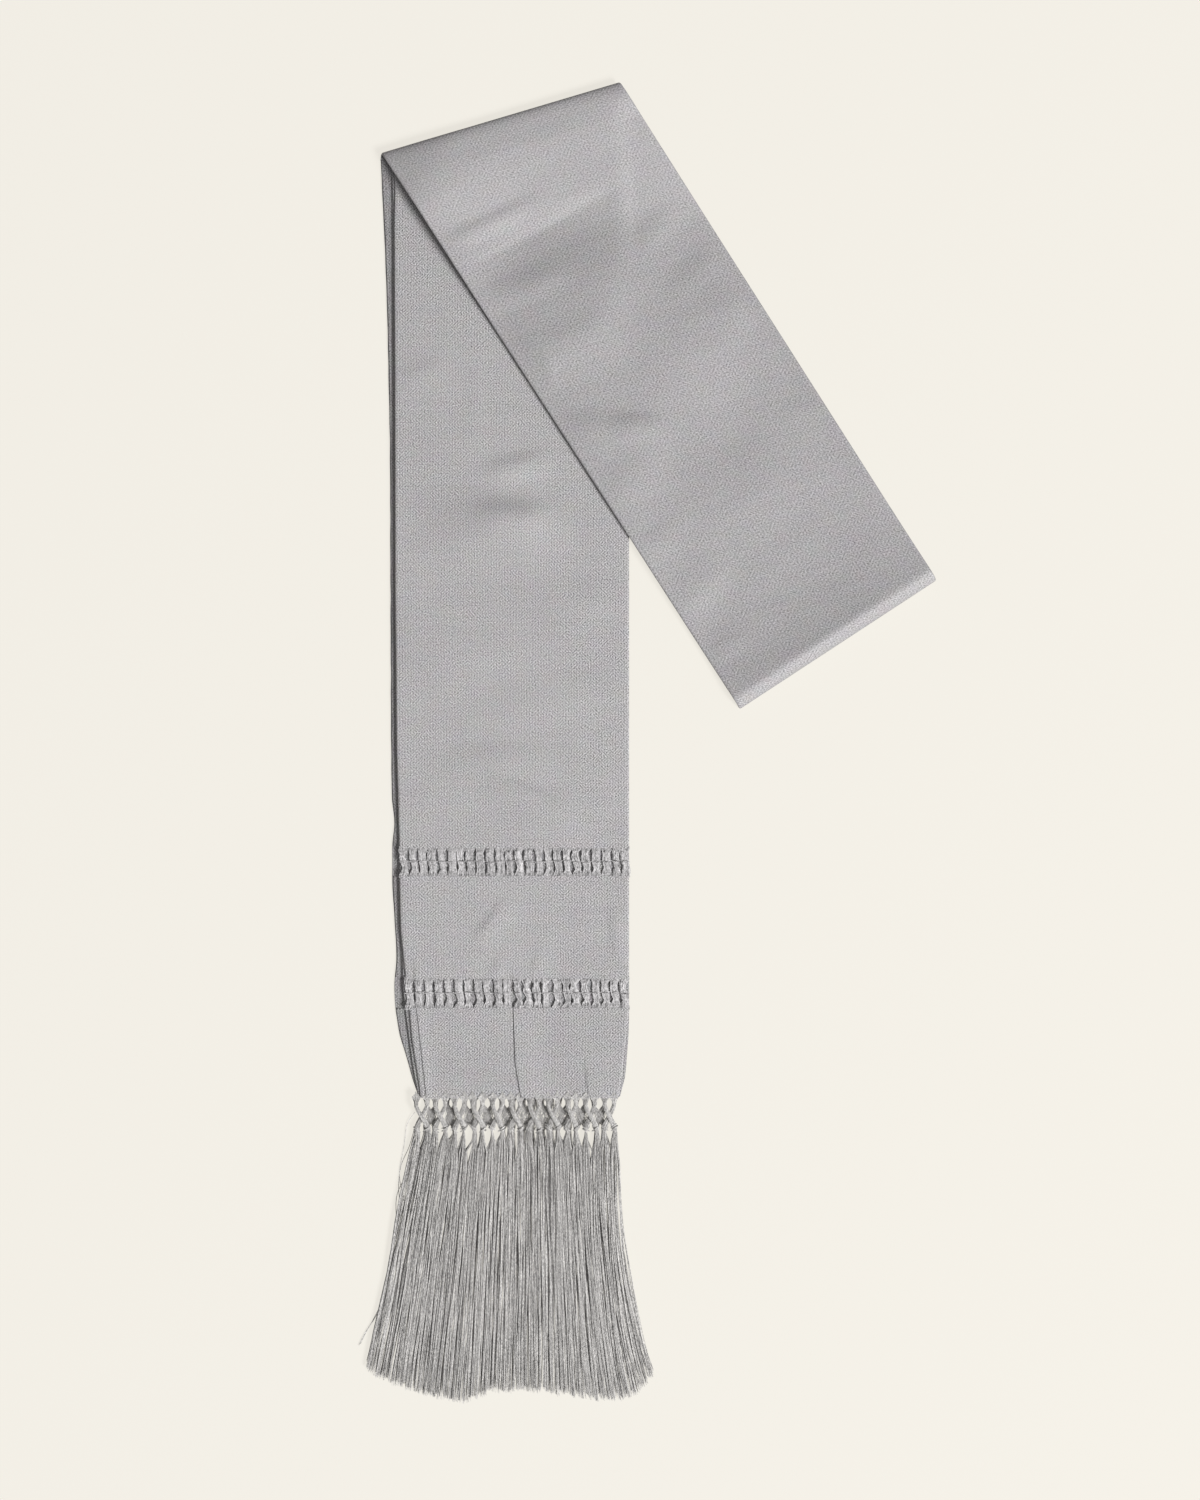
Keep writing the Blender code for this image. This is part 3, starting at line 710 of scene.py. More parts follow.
    def build_strand(self) -> bpy.types.NodeTree:
        """One thread beside the next: each has its own tone, crimps along its length and a fine twist.

        Returns:
            The group, with a Tone that changes from thread to thread, a Crimp that changes along them and
            the Height of their twist, all from 0 to 1.
        """
        group, wiring, given, result = self.open_group(
            "twisted_strand", {"Twist": 0.9, "Crimp Length": 1.5}, ("Tone", "Crimp", "Height"))
        split = wiring.node("ShaderNodeSeparateXYZ", {0: wiring.place()})
        own = wiring.node("ShaderNodeTexWhiteNoise", {"W": split.outputs[0]}, noise_dimensions="1D")
        own = own.outputs["Value"]
        wiring.feed(result.inputs["Tone"], own)
        length = wiring.math("DIVIDE", split.outputs[1], MM)
        along = wiring.node("ShaderNodeCombineXYZ", {
            0: wiring.math("MULTIPLY", own, self.crimp_offsets),
            1: wiring.math("DIVIDE", length, given.outputs["Crimp Length"])})
        crimp = wiring.node("ShaderNodeTexNoise", {"Vector": along.outputs[0], "Detail": 1.0, "Scale": 1.0})
        wiring.feed(result.inputs["Crimp"], crimp.outputs[0])
        turn = wiring.math("DIVIDE", wiring.math("MULTIPLY", length, math.tau), given.outputs["Twist"])
        start = wiring.math("MULTIPLY", own, self.twist_offsets)
        wave = wiring.math("SINE", wiring.math("ADD", turn, start))
        wiring.feed(result.inputs["Height"], wiring.math("MULTIPLY_ADD", wave, 0.5, 0.5))
        return group


def start_material(name: str) -> tuple[bpy.types.Material, Wiring, bpy.types.Node]:
    """Start a material.

    Args:
        name: Its name.

    Returns:
        The material, its wiring and its shader.
    """
    material = bpy.data.materials.new(name)
    material.use_nodes = True
    return material, Wiring(material.node_tree), material.node_tree.nodes["Principled BSDF"]


@dataclass(frozen=True)
class SilkFinish:
    """Grey silk twill with a soft satin gloss."""

    name: str
    colour: tuple[float, float, float] = (0.465, 0.453, 0.460)
    roughness: float = 0.62
    roughness_spread: float = 0.12
    pitch: float = 1.45
    relief: float = 0.55
    relief_depth: float = 0.3
    # How strongly the weave's height scales the colour: painted shade in the twill's grooves and painted
    # light on its ribs, mixed with the uneven threads' own tone.
    grain: float = 1.4
    grain_size: float = 0.85
    unevenness: float = 0.62
    cloud: float = 0.12
    tint: float = 0.035
    sheen: float = 0.2
    sheen_roughness: float = 0.45
    gloss: float = 0.22
    # Painted light and shade: how much the tone group's mask lightens (above 0) or darkens (below 0) the
    # colour, and where along the cloth, in millimetres, it fades out.
    painted_light: float = 0.0
    painted_light_start: float = 58.0
    painted_light_end: float = 92.0

    def make(self, groups: EffectGroups) -> bpy.types.Material:
        """Make the material.

        Args:
            groups: The shared effects.

        Returns:
            The material.
        """
        material, wiring, shader = start_material(self.name)
        weave = wiring.effect(groups.weave, {
            "Pitch": self.pitch, "Unevenness": self.unevenness, "Grain": self.grain_size}).outputs["Height"]
        tone = wiring.effect(groups.tone, {"Painted Light Start": self.painted_light_start, "Painted Light End": self.painted_light_end})
        # The weave's height scales the colour: painted shade in the twill's grooves and painted light on its
        # ribs, on top of the bump below, with the uneven threads' own tone mixed in.
        lit = wiring.around(weave, self.grain, 1.0)
        clouded = wiring.around(tone.outputs["Tone"], 2.0 * self.cloud, lit)
        # Painted light and shade is added to the colour's scale where the mask is on.
        shade = wiring.math("MULTIPLY_ADD", tone.outputs["Painted Light"], self.painted_light, clouded)
        colour = wiring.node("ShaderNodeVectorMath", {0: self.colour, "Scale": shade}, operation="SCALE")
        tinted = wiring.node("ShaderNodeVectorMath", {
            0: tone.outputs["Tint"], 1: (self.tint,) * 3, 2: colour.outputs[0]}, operation="MULTIPLY_ADD")
        wiring.feed(shader.inputs["Base Color"], tinted.outputs[0])
        wiring.feed(shader.inputs["Roughness"], wiring.around(weave, -self.roughness_spread, self.roughness))
        bump = wiring.node("ShaderNodeBump", {
            "Strength": self.relief, "Distance": self.relief_depth * MM, "Height": weave})
        wiring.feed(shader.inputs["Normal"], bump.outputs[0])
        shader.inputs["Sheen Weight"].default_value = self.sheen
        shader.inputs["Sheen Roughness"].default_value = self.sheen_roughness
        shader.inputs["Specular IOR Level"].default_value = self.gloss
        return material


@dataclass(frozen=True)
class ThreadFinish:
    """Silk thread, each one a little lighter or darker than the next."""

    name: str
    colour: tuple[float, float, float] = (0.560, 0.546, 0.533)
    roughness: float = 0.42
    spread: float = 0.5
    crimp: float = 2.4
    relief: float = 0.25
    relief_depth: float = 0.1
    sheen: float = 0.15

    def make(self, groups: EffectGroups) -> bpy.types.Material:
        """Make the material.

        Args:
            groups: The shared effects.

        Returns:
            The material.
        """
        material, wiring, shader = start_material(self.name)
        strand = wiring.effect(groups.strand)
        tone = wiring.around(strand.outputs["Tone"], self.spread, 1.0)
        tone = wiring.around(strand.outputs["Crimp"], self.crimp, tone)
        colour = wiring.node("ShaderNodeVectorMath", {0: self.colour, "Scale": tone}, operation="SCALE")
        wiring.feed(shader.inputs["Base Color"], colour.outputs[0])
        bump = wiring.node("ShaderNodeBump", {
            "Strength": self.relief, "Distance": self.relief_depth * MM, "Height": strand.outputs["Height"]})
        wiring.feed(shader.inputs["Normal"], bump.outputs[0])
        shader.inputs["Roughness"].default_value = self.roughness
        shader.inputs["Sheen Weight"].default_value = self.sheen
        return material


# Cloth

@dataclass(frozen=True)
class FoldedEdge:
    """A folded side of the cloth, which curls down at the edge."""

    radius: float = 1.15
    thickness: float = 0.55
    steps: int = 4

    def columns(self) -> list[tuple[float, float, float, float]]:
        """Stations from the edge in over the curl.

        Returns:
            For each, how far in the outer face is, its drop, and the same for the inner face.
        """
        found = []
        for step in range(self.steps + 1):
            turn = math.radians(90.0) * (1.0 - step / self.steps)
            inside = self.radius - self.thickness
            found.append((self.radius * (1.0 - math.sin(turn)), self.radius * (1.0 - math.cos(turn)),
                          self.radius - inside * math.sin(turn), self.radius - inside * math.cos(turn)))
        return found


@dataclass(frozen=True)
class Openwork:
    """A drawn-thread band over the leg."""

    middle: float
    height: float
    bundles: int
    first: float
    last: float
    openness: tuple[tuple[float, float], ...]

    @property
    def top(self) -> float:
        """Where the cloth above it ends."""
        return self.middle + self.height / 2.0

    @property
    def foot(self) -> float:
        """Where the cloth below it ends."""
        return self.middle - self.height / 2.0

    def opened(self, x: float) -> float:
        """Share of the band's pitch that is open at its middle, at x."""
        places, shares = zip(*self.openness)
        return float(np.interp(x, places, shares))


OPENWORKS = (
    Openwork(middle=-77.0, height=18.0, bundles=23, first=-155.4, last=-17.6, openness=(
        (-160.0, 0.27), (-134.0, 0.25), (-126.0, 0.17), (-60.0, 0.20), (-50.0, 0.32), (-12.0, 0.30))),
    Openwork(middle=-162.4, height=19.0, bundles=22, first=-151.6, last=-17.8, openness=(
        (-160.0, 0.13), (-134.0, 0.22), (-124.0, 0.33), (-90.0, 0.29), (-82.0, 0.75), (-76.0, 0.72),
        (-68.0, 0.36), (-50.0, 0.36), (-44.0, 0.42), (-12.0, 0.35))),
)


@dataclass(frozen=True)
class Tuck:
    """A tuck by the hem, where the cloth right of a line lies over the cloth left of it."""

    line: tuple[tuple[float, float], ...]
    start: float
    rise: float
    back: float
    run: float = 60.0
    edge: float = 0.01

    def x(self, y: np.ndarray) -> np.ndarray:
        """Where the tuck's line runs."""
        ys, xs = zip(*sorted((point[1], point[0]) for point in self.line))
        return np.interp(y, ys, xs)

    def height(self, x: np.ndarray, y: np.ndarray) -> np.ndarray:
        """Height that the tuck adds.

        Args:
            x: Plan places.
            y: Plan places.

        Returns:
            The height at each place.
        """
        behind = x - self.x(y)
        depth = smooth((self.start - y) / self.run)
        return np.where(behind > self.edge, self.rise * depth * (1.0 - smooth(behind / self.back)), 0.0)


@dataclass(frozen=True)
class LegCloth:
    """The leg's top layer: three stretches of cloth, parted by the two drawn-thread bands."""

    plan: LegPlan = LegPlan()
    band: BandPlan = BandPlan()
    outside: float = 4.9
    spacing: float = 2.1
    top_row: float = 378.6
    edge: FoldedEdge = FoldedEdge()
    # Middle, length, angle, width to the left and to the right, rise and bend
    creases: tuple[Crease, ...] = (
        Crease(-78.0, 181.5, 80.0, 12.0, 10.0, 15.0, 1.7, 1.0),
        Crease(-97.0, 142.0, 116.0, -7.0, 28.0, 36.0, 2.9, -1.5),
        Crease(-88.0, 148.0, 64.0, -5.0, 14.0, 17.0, 2.3),
        Crease(-109.0, 232.0, 84.0, 88.0, 12.0, 5.0, 0.3),
        Crease(-146.0, 242.0, 40.0, 12.0, 9.0, 13.0, 0.8),
        Crease(-101.0, -20.0, 104.0, 3.0, 15.0, 20.0, 1.1, 10.0),
        Crease(-77.0, -46.0, 108.0, -28.0, 7.0, 26.0, 1.5, 13.0),
        Crease(-102.0, -115.0, 46.0, 53.0, 5.0, 15.0, 0.9),
        Crease(-98.0, -147.0, 26.0, 70.0, 5.0, 8.0, 0.5),
        Crease(-72.0, -142.0, 28.0, 80.0, 5.0, 8.0, 0.5),
        Crease(-20.0, -125.0, 44.0, 96.0, 6.0, 7.0, 0.7),
        Crease(-30.0, 96.0, 90.0, 12.0, 18.0, 24.0, 0.8),
        Crease(-120.0, 66.0, 100.0, -4.0, 16.0, 26.0, 0.7),
        Crease(-60.0, 30.0, 120.0, 5.0, 20.0, 24.0, 0.6),
    )
    # Points of the line, where it starts, rise, and how far back it eases
    tucks: tuple[Tuck, ...] = (
        Tuck(((-153.0, -120.0), (-150.0, -175.0), (-143.3, -235.0)), -128.0, 0.7, 7.0),
        Tuck(((-88.0, -120.0), (-87.4, -171.3), (-86.1, -207.7), (-81.6, -235.0)), -138.0, 1.0, 24.0),
        Tuck(((-38.0, -120.0), (-40.5, -205.0), (-38.5, -235.0)), -196.0, 0.8, 14.0),
    )
    crease_clearance: float = 5.0
    crease_fade: float = 30.0
    waviness: float = 0.16
    wave_length: float = 46.0
    wave_seed: int = 3
    tuck_steps: tuple[float, float] = (0.3, 0.8)
    rim_step: float = 0.3

    def stretches(self) -> list[tuple[float, float]]:
        """The foot and top of each stretch of cloth."""
        marks = [self.plan.hem_y]
        for work in sorted(OPENWORKS, key=lambda item: item.middle):
            marks += [work.foot, work.top]
        marks.append(self.top_row)
        return list(zip(marks[::2], marks[1::2]))

    def relief(self, x: np.ndarray, y: np.ndarray) -> np.ndarray:
        """Height of the creases, tucks and waviness.

        Args:
            x: Plan places.
            y: Plan places.

        Returns:
            The height at each place.
        """
        side, _ = self.band.measures(x, y)
        clear = smooth((-side - self.crease_clearance) / self.crease_fade)
        waves = undulation(x, y, self.wave_length, self.wave_seed)
        height = creased(self.creases, x, y) * clear + self.waviness * waves * clear
        for tuck in self.tucks:
            height = height + tuck.height(x, y)
        return height

    def columns(self, left: np.ndarray, right: np.ndarray, y: np.ndarray) -> tuple[np.ndarray, ...]:
        """Places over each row, close together at the sides and by the tucks.

        Args:
            left: Left edge of each row.
            right: Right edge of each row.
            y: Each row's height up the leg.

        Returns:
            X and drop of the outer face's points, and the same for the inner face's, row by row.
        """
        curl = self.edge.columns()
        rails = [left + self.edge.radius] + [tuck.x(y) for tuck in self.tucks] + [right - self.edge.radius]
        inner_places = []
        for index, (start, end) in enumerate(zip(rails, rails[1:])):
            width = float(np.mean(end - start))
            count = max(3, round(width / self.spacing))
            shares = list(np.arange(count) / count)
            if index:
                shares[1:1] = [step / width for step in self.tuck_steps]
            inner_places += [mix(start, end, share) for share in shares]
        inner_places = inner_places[1:]
        flat = np.zeros_like(left)
        outer = [(left + item[0], flat + item[1]) for item in curl]
        inner = [(left + item[2], flat + item[3]) for item in curl]
        outer += [(place, flat) for place in inner_places]
        inner += [(place, flat + self.edge.thickness) for place in inner_places]
        outer += [(right - item[0], flat + item[1]) for item in reversed(curl)]
        inner += [(right - item[2], flat + item[3]) for item in reversed(curl)]
        return tuple(np.stack(part, -1) for part in (*zip(*outer), *zip(*inner)))

    def build(self, material: bpy.types.Material) -> bpy.types.Object:
        """Make the top layer.

        Args:
            material: Its finish.

        Returns:
            The piece.
        """
        draft = Draft()
        for foot, top in self.stretches():
            count = max(4, round((top - foot) / self.spacing))
            shares = np.concatenate(([0.0, self.rim_step / (top - foot)], np.arange(1, count + 1) / count))
            row_y = mix(foot, top, shares)
            left = self.plan.column(row_y, Edge.TOP_LEFT.value)
            right = self.plan.column(row_y, Edge.TOP_RIGHT.value)
            faces = []
            outer_x, outer_drop, inner_x, inner_drop = self.columns(left, right, row_y)
            for x, drop in ((outer_x, outer_drop), (inner_x, inner_drop)):
                y = self.plan.raised(row_y[:, None] + np.zeros_like(x), x)
                faces.append(np.stack((x, y, self.outside - drop + self.relief(x, y)), -1))
            draft.add_shell(*faces, faces[0][..., :2] * MM)
        piece = draft.build("leg_cloth", material)
        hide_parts("leg_top")
        return piece


@dataclass(frozen=True)
class DrawnThreads:
    """The warp threads that cross each drawn-thread band, gathered into bundles on a knotting thread."""

    cloth: LegCloth
    threads: int = 11
    stations: int = 17
    radius: float = 0.265
    anchor: float = 1.2
    sway: float = 0.45
    slant: float = 0.75
    slant_spread: tuple[float, float] = (0.3, 1.3)
    gap_places: tuple[float, float] = (0.27, 0.79)
    gap_wander: float = 0.035
    gap_height: float = 0.1
    gap_spread: tuple[float, float] = (0.7, 1.3)
    unlikeness: float = 0.42
    held_reach: float = 0.14
    twists: tuple[float, float] = (0.25, 0.6)
    depth: float = 0.32
    gathered_lift: float = 0.35
    twist_depth: float = 0.16
    knotting_radius: float = 0.22
    knotting_overhang: float = 3.0
    knotting_drop: float = 0.1
    knotting_lift: float = 0.25
    knotting_sways: tuple[float, float] = (0.45, 0.7)
    sway_length: float = 31.0
    loop_radius: float = 0.2
    loop_stations: int = 15
    loop_margin: float = 0.25
    loop_slope: float = 0.35
    loop_wander: float = 0.4
    loop_height: float = 0.42
    seed: int = 7

    def build(self, material: bpy.types.Material) -> bpy.types.Object:
        """Make the threads of both bands.

        Args:
            material: Their finish.

        Returns:
            The piece.
        """
        draft = Draft()
        chance = np.random.default_rng(self.seed)
        for work in OPENWORKS:
            self.add_bundles(draft, work, chance)
            self.add_knotting(draft, work, chance)
        piece = draft.build("drawn_threads", material, THREAD_SHARP)
        return piece

    def middles(self, work: Openwork) -> np.ndarray:
        """X of the middle of each bundle: halfway between two gaps, and as far out past the end gaps."""
        pitch = (work.last - work.first) / (work.bundles - 1)
        return work.first + pitch * (np.arange(work.bundles + 1) - 0.5)

    def add_bundles(self, draft: Draft, work: Openwork, chance: np.random.Generator) -> None:
        """Add the bundles of one band.

        Args:
            draft: What they go into.
            work: The band.
            chance: Seeded chance.
        """
        pitch = (work.last - work.first) / (work.bundles - 1)
        share = np.linspace(0.0, 1.0, self.stations)
        y = mix(work.foot - self.anchor, work.top + self.anchor, share)
        within = np.clip((y - work.foot) / work.height, 0.0, 1.0)
        held = smooth(np.minimum(within, 1.0 - within) / self.held_reach)
        paths, numbers = [], []
        for bundle, middle in enumerate(self.middles(work)):
            gather = np.zeros_like(held)
            for place in self.gap_places:
                at = place + chance.normal(0.0, self.gap_wander)
                tall = self.gap_height * chance.uniform(*self.gap_spread)
                depth = chance.uniform(1.0 - self.unlikeness, 1.0 + self.unlikeness)
                gather = gather + depth * np.exp(-((within - at) / tall) ** 2) * held
            tight = 1.0 - work.opened(middle)
            lean = chance.normal(0.0, self.sway)
            bow = self.slant * chance.uniform(*self.slant_spread) * np.sin(math.tau * within)
            twist = chance.uniform(*self.twists) * math.pi
            turn = twist * np.sin(math.pi * share) * math.copysign(1.0, lean)
            for thread in range(self.threads):
                offset = ((thread + 0.5) / self.threads - 0.5) * pitch
                width = mix(1.0, tight, gather)
                x = middle + lean * held + bow + offset * width * np.cos(0.5 * turn)
                z = self.cloth.outside - self.depth + self.gathered_lift * gather
                z = z + offset * self.twist_depth * np.sin(turn) * gather
                paths.append(np.stack((x, y, z + self.cloth.relief(x, y)), -1))
                numbers.append(100 * bundle + thread)
        paths = np.array(paths)
        draft.add_tubes(paths, np.full(paths.shape[:2], self.radius), np.array(numbers, dtype=float))

    def add_knotting(self, draft: Draft, work: Openwork, chance: np.random.Generator) -> None:
        """Add the knotting thread, which runs over the bundles' middles with a loop round each.

        Args:
            draft: What it goes into.
            work: The band.
            chance: Seeded chance.
        """
        middles = self.middles(work)
        pitch = middles[1] - middles[0]
        level = self.cloth.outside - self.knotting_drop
        x = np.linspace(middles[0] - self.knotting_overhang, middles[-1] + self.knotting_overhang,
                        6 * len(middles))
        slow, quick = self.knotting_sways
        y = work.middle + slow * np.sin(math.tau * x / self.sway_length)
        y = y + quick * np.sin(math.tau * x / pitch)
        z = level + self.knotting_lift * np.cos(math.tau * (x - middles[0]) / pitch)
        path = np.stack((x, y, z + self.cloth.relief(x, y)), -1)[None]
        draft.add_tubes(path, np.full(path.shape[:2], self.knotting_radius), np.array([7.0]))
        turns = np.linspace(0.0, math.tau, self.loop_stations)
        outward = np.stack((np.cos(turns), np.zeros_like(turns), np.sin(turns)), -1)
        loops = []
        for middle in middles:
            width = 0.5 * (1.0 - work.opened(middle)) * pitch + self.loop_margin
            over = middle + width * np.cos(turns)
            at = work.middle + self.loop_slope * math.sin(math.tau * middle / self.sway_length)
            at = at + chance.uniform(-self.loop_wander, self.loop_wander) + self.loop_slope * np.sin(turns)
            height = level + self.loop_height * np.sin(turns) + self.cloth.relief(over, at)
            loops.append(np.stack((over, at, height), -1))
        loops = np.array(loops)
        draft.add_tubes(loops, np.full(loops.shape[:2], self.loop_radius), np.arange(len(middles)) * 3.0,
                        outward)


@dataclass(frozen=True)
class LegLeaf:
    """One of the leg's hidden layers, whose folded edges show beside the top layer."""

    number: int
    left: Edge
    right: Edge
    inset: float
    setback: float
    floor: float
    thickness: float = 0.76
    opened: bool = True
    reach: float = 0.0
    spacing: float = 4.0
    work_clearance: float = 0.6
    curl_steps: int = 4
    column_count: int = 12
    waviness: float = 0.16
    wave_length: float = 37.0
    wave_slant: float = 0.3
    first_seed: int = 20

    def stretches(self, hem_y: float, top_row: float) -> list[tuple[float, float]]:
        """The foot and top of each stretch, parted by the drawn-thread bands where the layer is opened.

        Args:
            hem_y: Where the leg's hem is.
            top_row: Where the layer ends by the slanted fold.

        Returns:
            Them, from the hem up.
        """
        marks = [hem_y + self.setback]
        if self.opened:
            for work in sorted(OPENWORKS, key=lambda item: item.middle):
                marks += [work.foot - self.work_clearance, work.top + self.work_clearance]
        marks.append(top_row)
        return list(zip(marks[::2], marks[1::2]))

    def build(self, plan: LegPlan, material: bpy.types.Material, top_row: float) -> bpy.types.Object:
        """Make the layer.

        Args:
            plan: The leg's outline.
            material: Its finish.
            top_row: Where it ends by the slanted fold.

        Returns:
            The piece.
        """
        draft = Draft()
        radius = self.thickness / 2.0
        turns = np.radians(np.linspace(0.0, 90.0, self.curl_steps))
        curl = [(radius * (1.0 - math.sin(turn)), radius * (1.0 - math.cos(turn))) for turn in turns[::-1]]
        shares = np.linspace(0.0, 1.0, self.column_count)[1:-1]
        drops = [item[1] for item in curl] + [0.0] * len(shares) + [item[1] for item in reversed(curl)]
        for foot, top in self.stretches(plan.hem_y, top_row):
            row_y = np.linspace(foot, top, max(4, round((top - foot) / self.spacing)))
            seed = self.first_seed + self.number
            waves = undulation(row_y, row_y * self.wave_slant, self.wave_length, seed)
            wave = self.waviness * waves
            left = plan.column(row_y, self.left.value) + self.inset + wave
            right = plan.column(row_y, self.right.value) - self.inset + 0.5 * wave
            xs = [left + item[0] for item in curl] + [mix(left, right, share) for share in shares]
            xs += [right - item[0] for item in reversed(curl)]
            x = np.stack(xs, -1)
            y = plan.raised(row_y[:, None] + np.zeros_like(x), x)
            drop = np.array(drops) + np.zeros_like(x)
            outer = np.stack((x, y, self.floor + self.thickness - drop), -1)
            inner = np.stack((x, y, self.floor + drop), -1)
            draft.add_shell(outer, inner, outer[..., :2] * MM)
        piece = draft.build(f"leg_layer_{self.number}", material)
        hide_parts("lower_strand")
        return piece


@dataclass(frozen=True)
class BandLayer:
    """A layer of the turned-over band: round the slanted fold, along the band and over its rolled end."""

    name: str
    node: str
    slot: str
    skin: float = 0.0
    inset: float = 0.0
    column_step: float = 2.0
    row_step: float = 2.2
    wrap: float = -84.0
    edge: FoldedEdge = FoldedEdge()
    creases: tuple[Crease, ...] = ()
    crease_fade: float = 26.0
    crease_at_edge: float = 0.3
    waviness: float = 0.15
    wave_length: float = 52.0
    wave_seed: int = 4
    turn_rows: tuple[int, int] = (12, 16)
    roll_rows: int = 12
    floor_clearance: float = 0.06

    def build(self, plan: BandPlan, material: bpy.types.Material) -> bpy.types.Object:
        """Make the layer.

        Args:
            plan: The band's outline.
            material: Its finish.

        Returns:
            The piece.
        """
        width = plan.width - 2.0 * self.inset
        curl = self.edge.columns()
        back = curl[::-1]
        count = round(width / self.column_step)
        flats = np.linspace(self.edge.radius, width - self.edge.radius, count)[1:-1]
        inner_flat = [self.edge.thickness] * len(flats)
        outer_at = [item[0] for item in curl] + list(flats) + [width - item[0] for item in back]
        inner_at = [item[2] for item in curl] + list(flats) + [width - item[2] for item in back]
        outer_drop = [item[1] for item in curl] + [0.0] * len(flats) + [item[1] for item in back]
        inner_drop = [item[3] for item in curl] + inner_flat + [item[3] for item in back]
        faces = []
        for at, drop in ((outer_at, outer_drop), (inner_at, inner_drop)):
            share = (np.array(at) + self.inset) / plan.width
            faces.append(self.surface(plan, share[None, :], self.skin + np.array(drop)[None, :]))
        steps = np.cumsum(np.linalg.norm(np.diff(faces[0], axis=0), axis=-1), axis=0)
        along = np.concatenate((np.zeros((1, steps.shape[1])), steps))
        places = np.stack((np.broadcast_to(np.array(outer_at), along.shape), along), -1) * MM
        draft = Draft()
        draft.add_shell(*faces, places)
        piece = draft.build(self.name, material)
        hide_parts(self.node)
        return piece

    def surface(self, plan: BandPlan, share: np.ndarray, depth: np.ndarray) -> np.ndarray:
        """Points of one face of the layer.

        Args:
            plan: The band's outline.
            share: Place of each column over the band's width.
            depth: How far under the band's outer surface each column lies.

        Returns:
            The points, row by row.
        """
        return np.concatenate((self.wrapped(plan, share, depth), self.lying(plan, share, depth),
                               self.rolled(plan, share, depth)))

    def wrapped(self, plan: BandPlan, share: np.ndarray, depth: np.ndarray) -> np.ndarray:
        """Rows round the slanted fold.

        Args:
            plan: The band's outline.
            share: Place of each column.
            depth: Depth of each column.

        Returns:
            The points.
        """
        under, over = self.turn_rows
        angle = np.concatenate((np.linspace(self.wrap, 0.0, under)[:-1], np.linspace(0.0, 90.0, over)))
        angle = angle[:, None]
        turn = np.radians(angle)
        reach = np.where(angle > 0.0, plan.fold_reach, plan.fold_radius)
        distance = reach - (reach - depth) * np.cos(turn)
        slide = plan.helix * np.where(angle > 0.0, distance, plan.fold_radius * turn)
        start = mix(plan.left, np.array(plan.fold_right), share[..., None])
        plain = start + plan.inward * distance[..., None] + plan.line * slide[..., None]
        x, y = plain[..., 0], plain[..., 1]
        height = plan.fold_radius + (plan.fold_radius - depth) * np.sin(turn)
        eased = smooth(angle / 90.0)
        gained = plan.rise(x, y) + eased * self.relief(plan, x, y)
        height = height + np.where(angle > 0.0, gained, 0.0)
        return np.stack((x, y, height), -1)

    def lying(self, plan: BandPlan, share: np.ndarray, depth: np.ndarray) -> np.ndarray:
        """Rows along the band.

        Args:
            plan: The band's outline.
            share: Place of each column.
            depth: Depth of each column.

        Returns:
            The points.
        """
        start, end = self.run(plan, share)
        count = round(float(np.mean(np.linalg.norm(end - start, axis=-1))) / self.row_step)
        fraction = (np.arange(1, count + 1) / count)[:, None, None]
        plain = mix(start, end, fraction)
        x, y = plain[..., 0], plain[..., 1]
        return np.stack((x, y, plan.top(x, y) + self.relief(plan, x, y) - depth), -1)

    def rolled(self, plan: BandPlan, share: np.ndarray, depth: np.ndarray) -> np.ndarray:
        """Rows over the soft rolled end.

        Args:
            plan: The band's outline.
            share: Place of each column.
            depth: Depth of each column.

        Returns:
            The points.
        """
        _, end = self.run(plan, share)
        turn = np.radians(np.linspace(0.0, 90.0, self.roll_rows)[1:])[:, None]
        x, y = end[..., 0], end[..., 1]
        height = (plan.top(x, y) + self.relief(plan, x, y) - depth) * np.cos(turn) + self.floor_clearance
        plain = end + plan.along * ((plan.roll_reach - depth) * np.sin(turn))[..., None]
        return np.stack((plain[..., 0], plain[..., 1], height), -1)

    def run(self, plan: BandPlan, share: np.ndarray) -> tuple[np.ndarray, np.ndarray]:
        """Where the stretch between the fold and the rolled end starts and ends.

        Args:
            plan: The band's outline.
            share: Place of each column.

        Returns:
            Both ends' plan points.
        """
        start = mix(plan.left, np.array(plan.fold_right), share[..., None])
        start = start + plan.inward * plan.fold_reach + plan.line * plan.helix * plan.fold_reach
        end = mix(np.array(plan.end_left), np.array(plan.end_right), share[..., None])
        return start, end - plan.along * plan.roll_reach

    def relief(self, plan: BandPlan, x: np.ndarray, y: np.ndarray) -> np.ndarray:
        """Height of the layer's creases and waviness, less towards its sides.

        Args:
            plan: The band's outline.
            x: Plan places.
            y: Plan places.

        Returns:
            The height at each place.
        """
        if not self.creases:
            return np.zeros_like(x)
        side, _ = plan.measures(x, y)
        inside = smooth(np.minimum(side, plan.width - side) / self.crease_fade + self.crease_at_edge)
        waves = undulation(x, y, self.wave_length, self.wave_seed)
        return (creased(self.creases, x, y) + self.waviness * waves) * inside


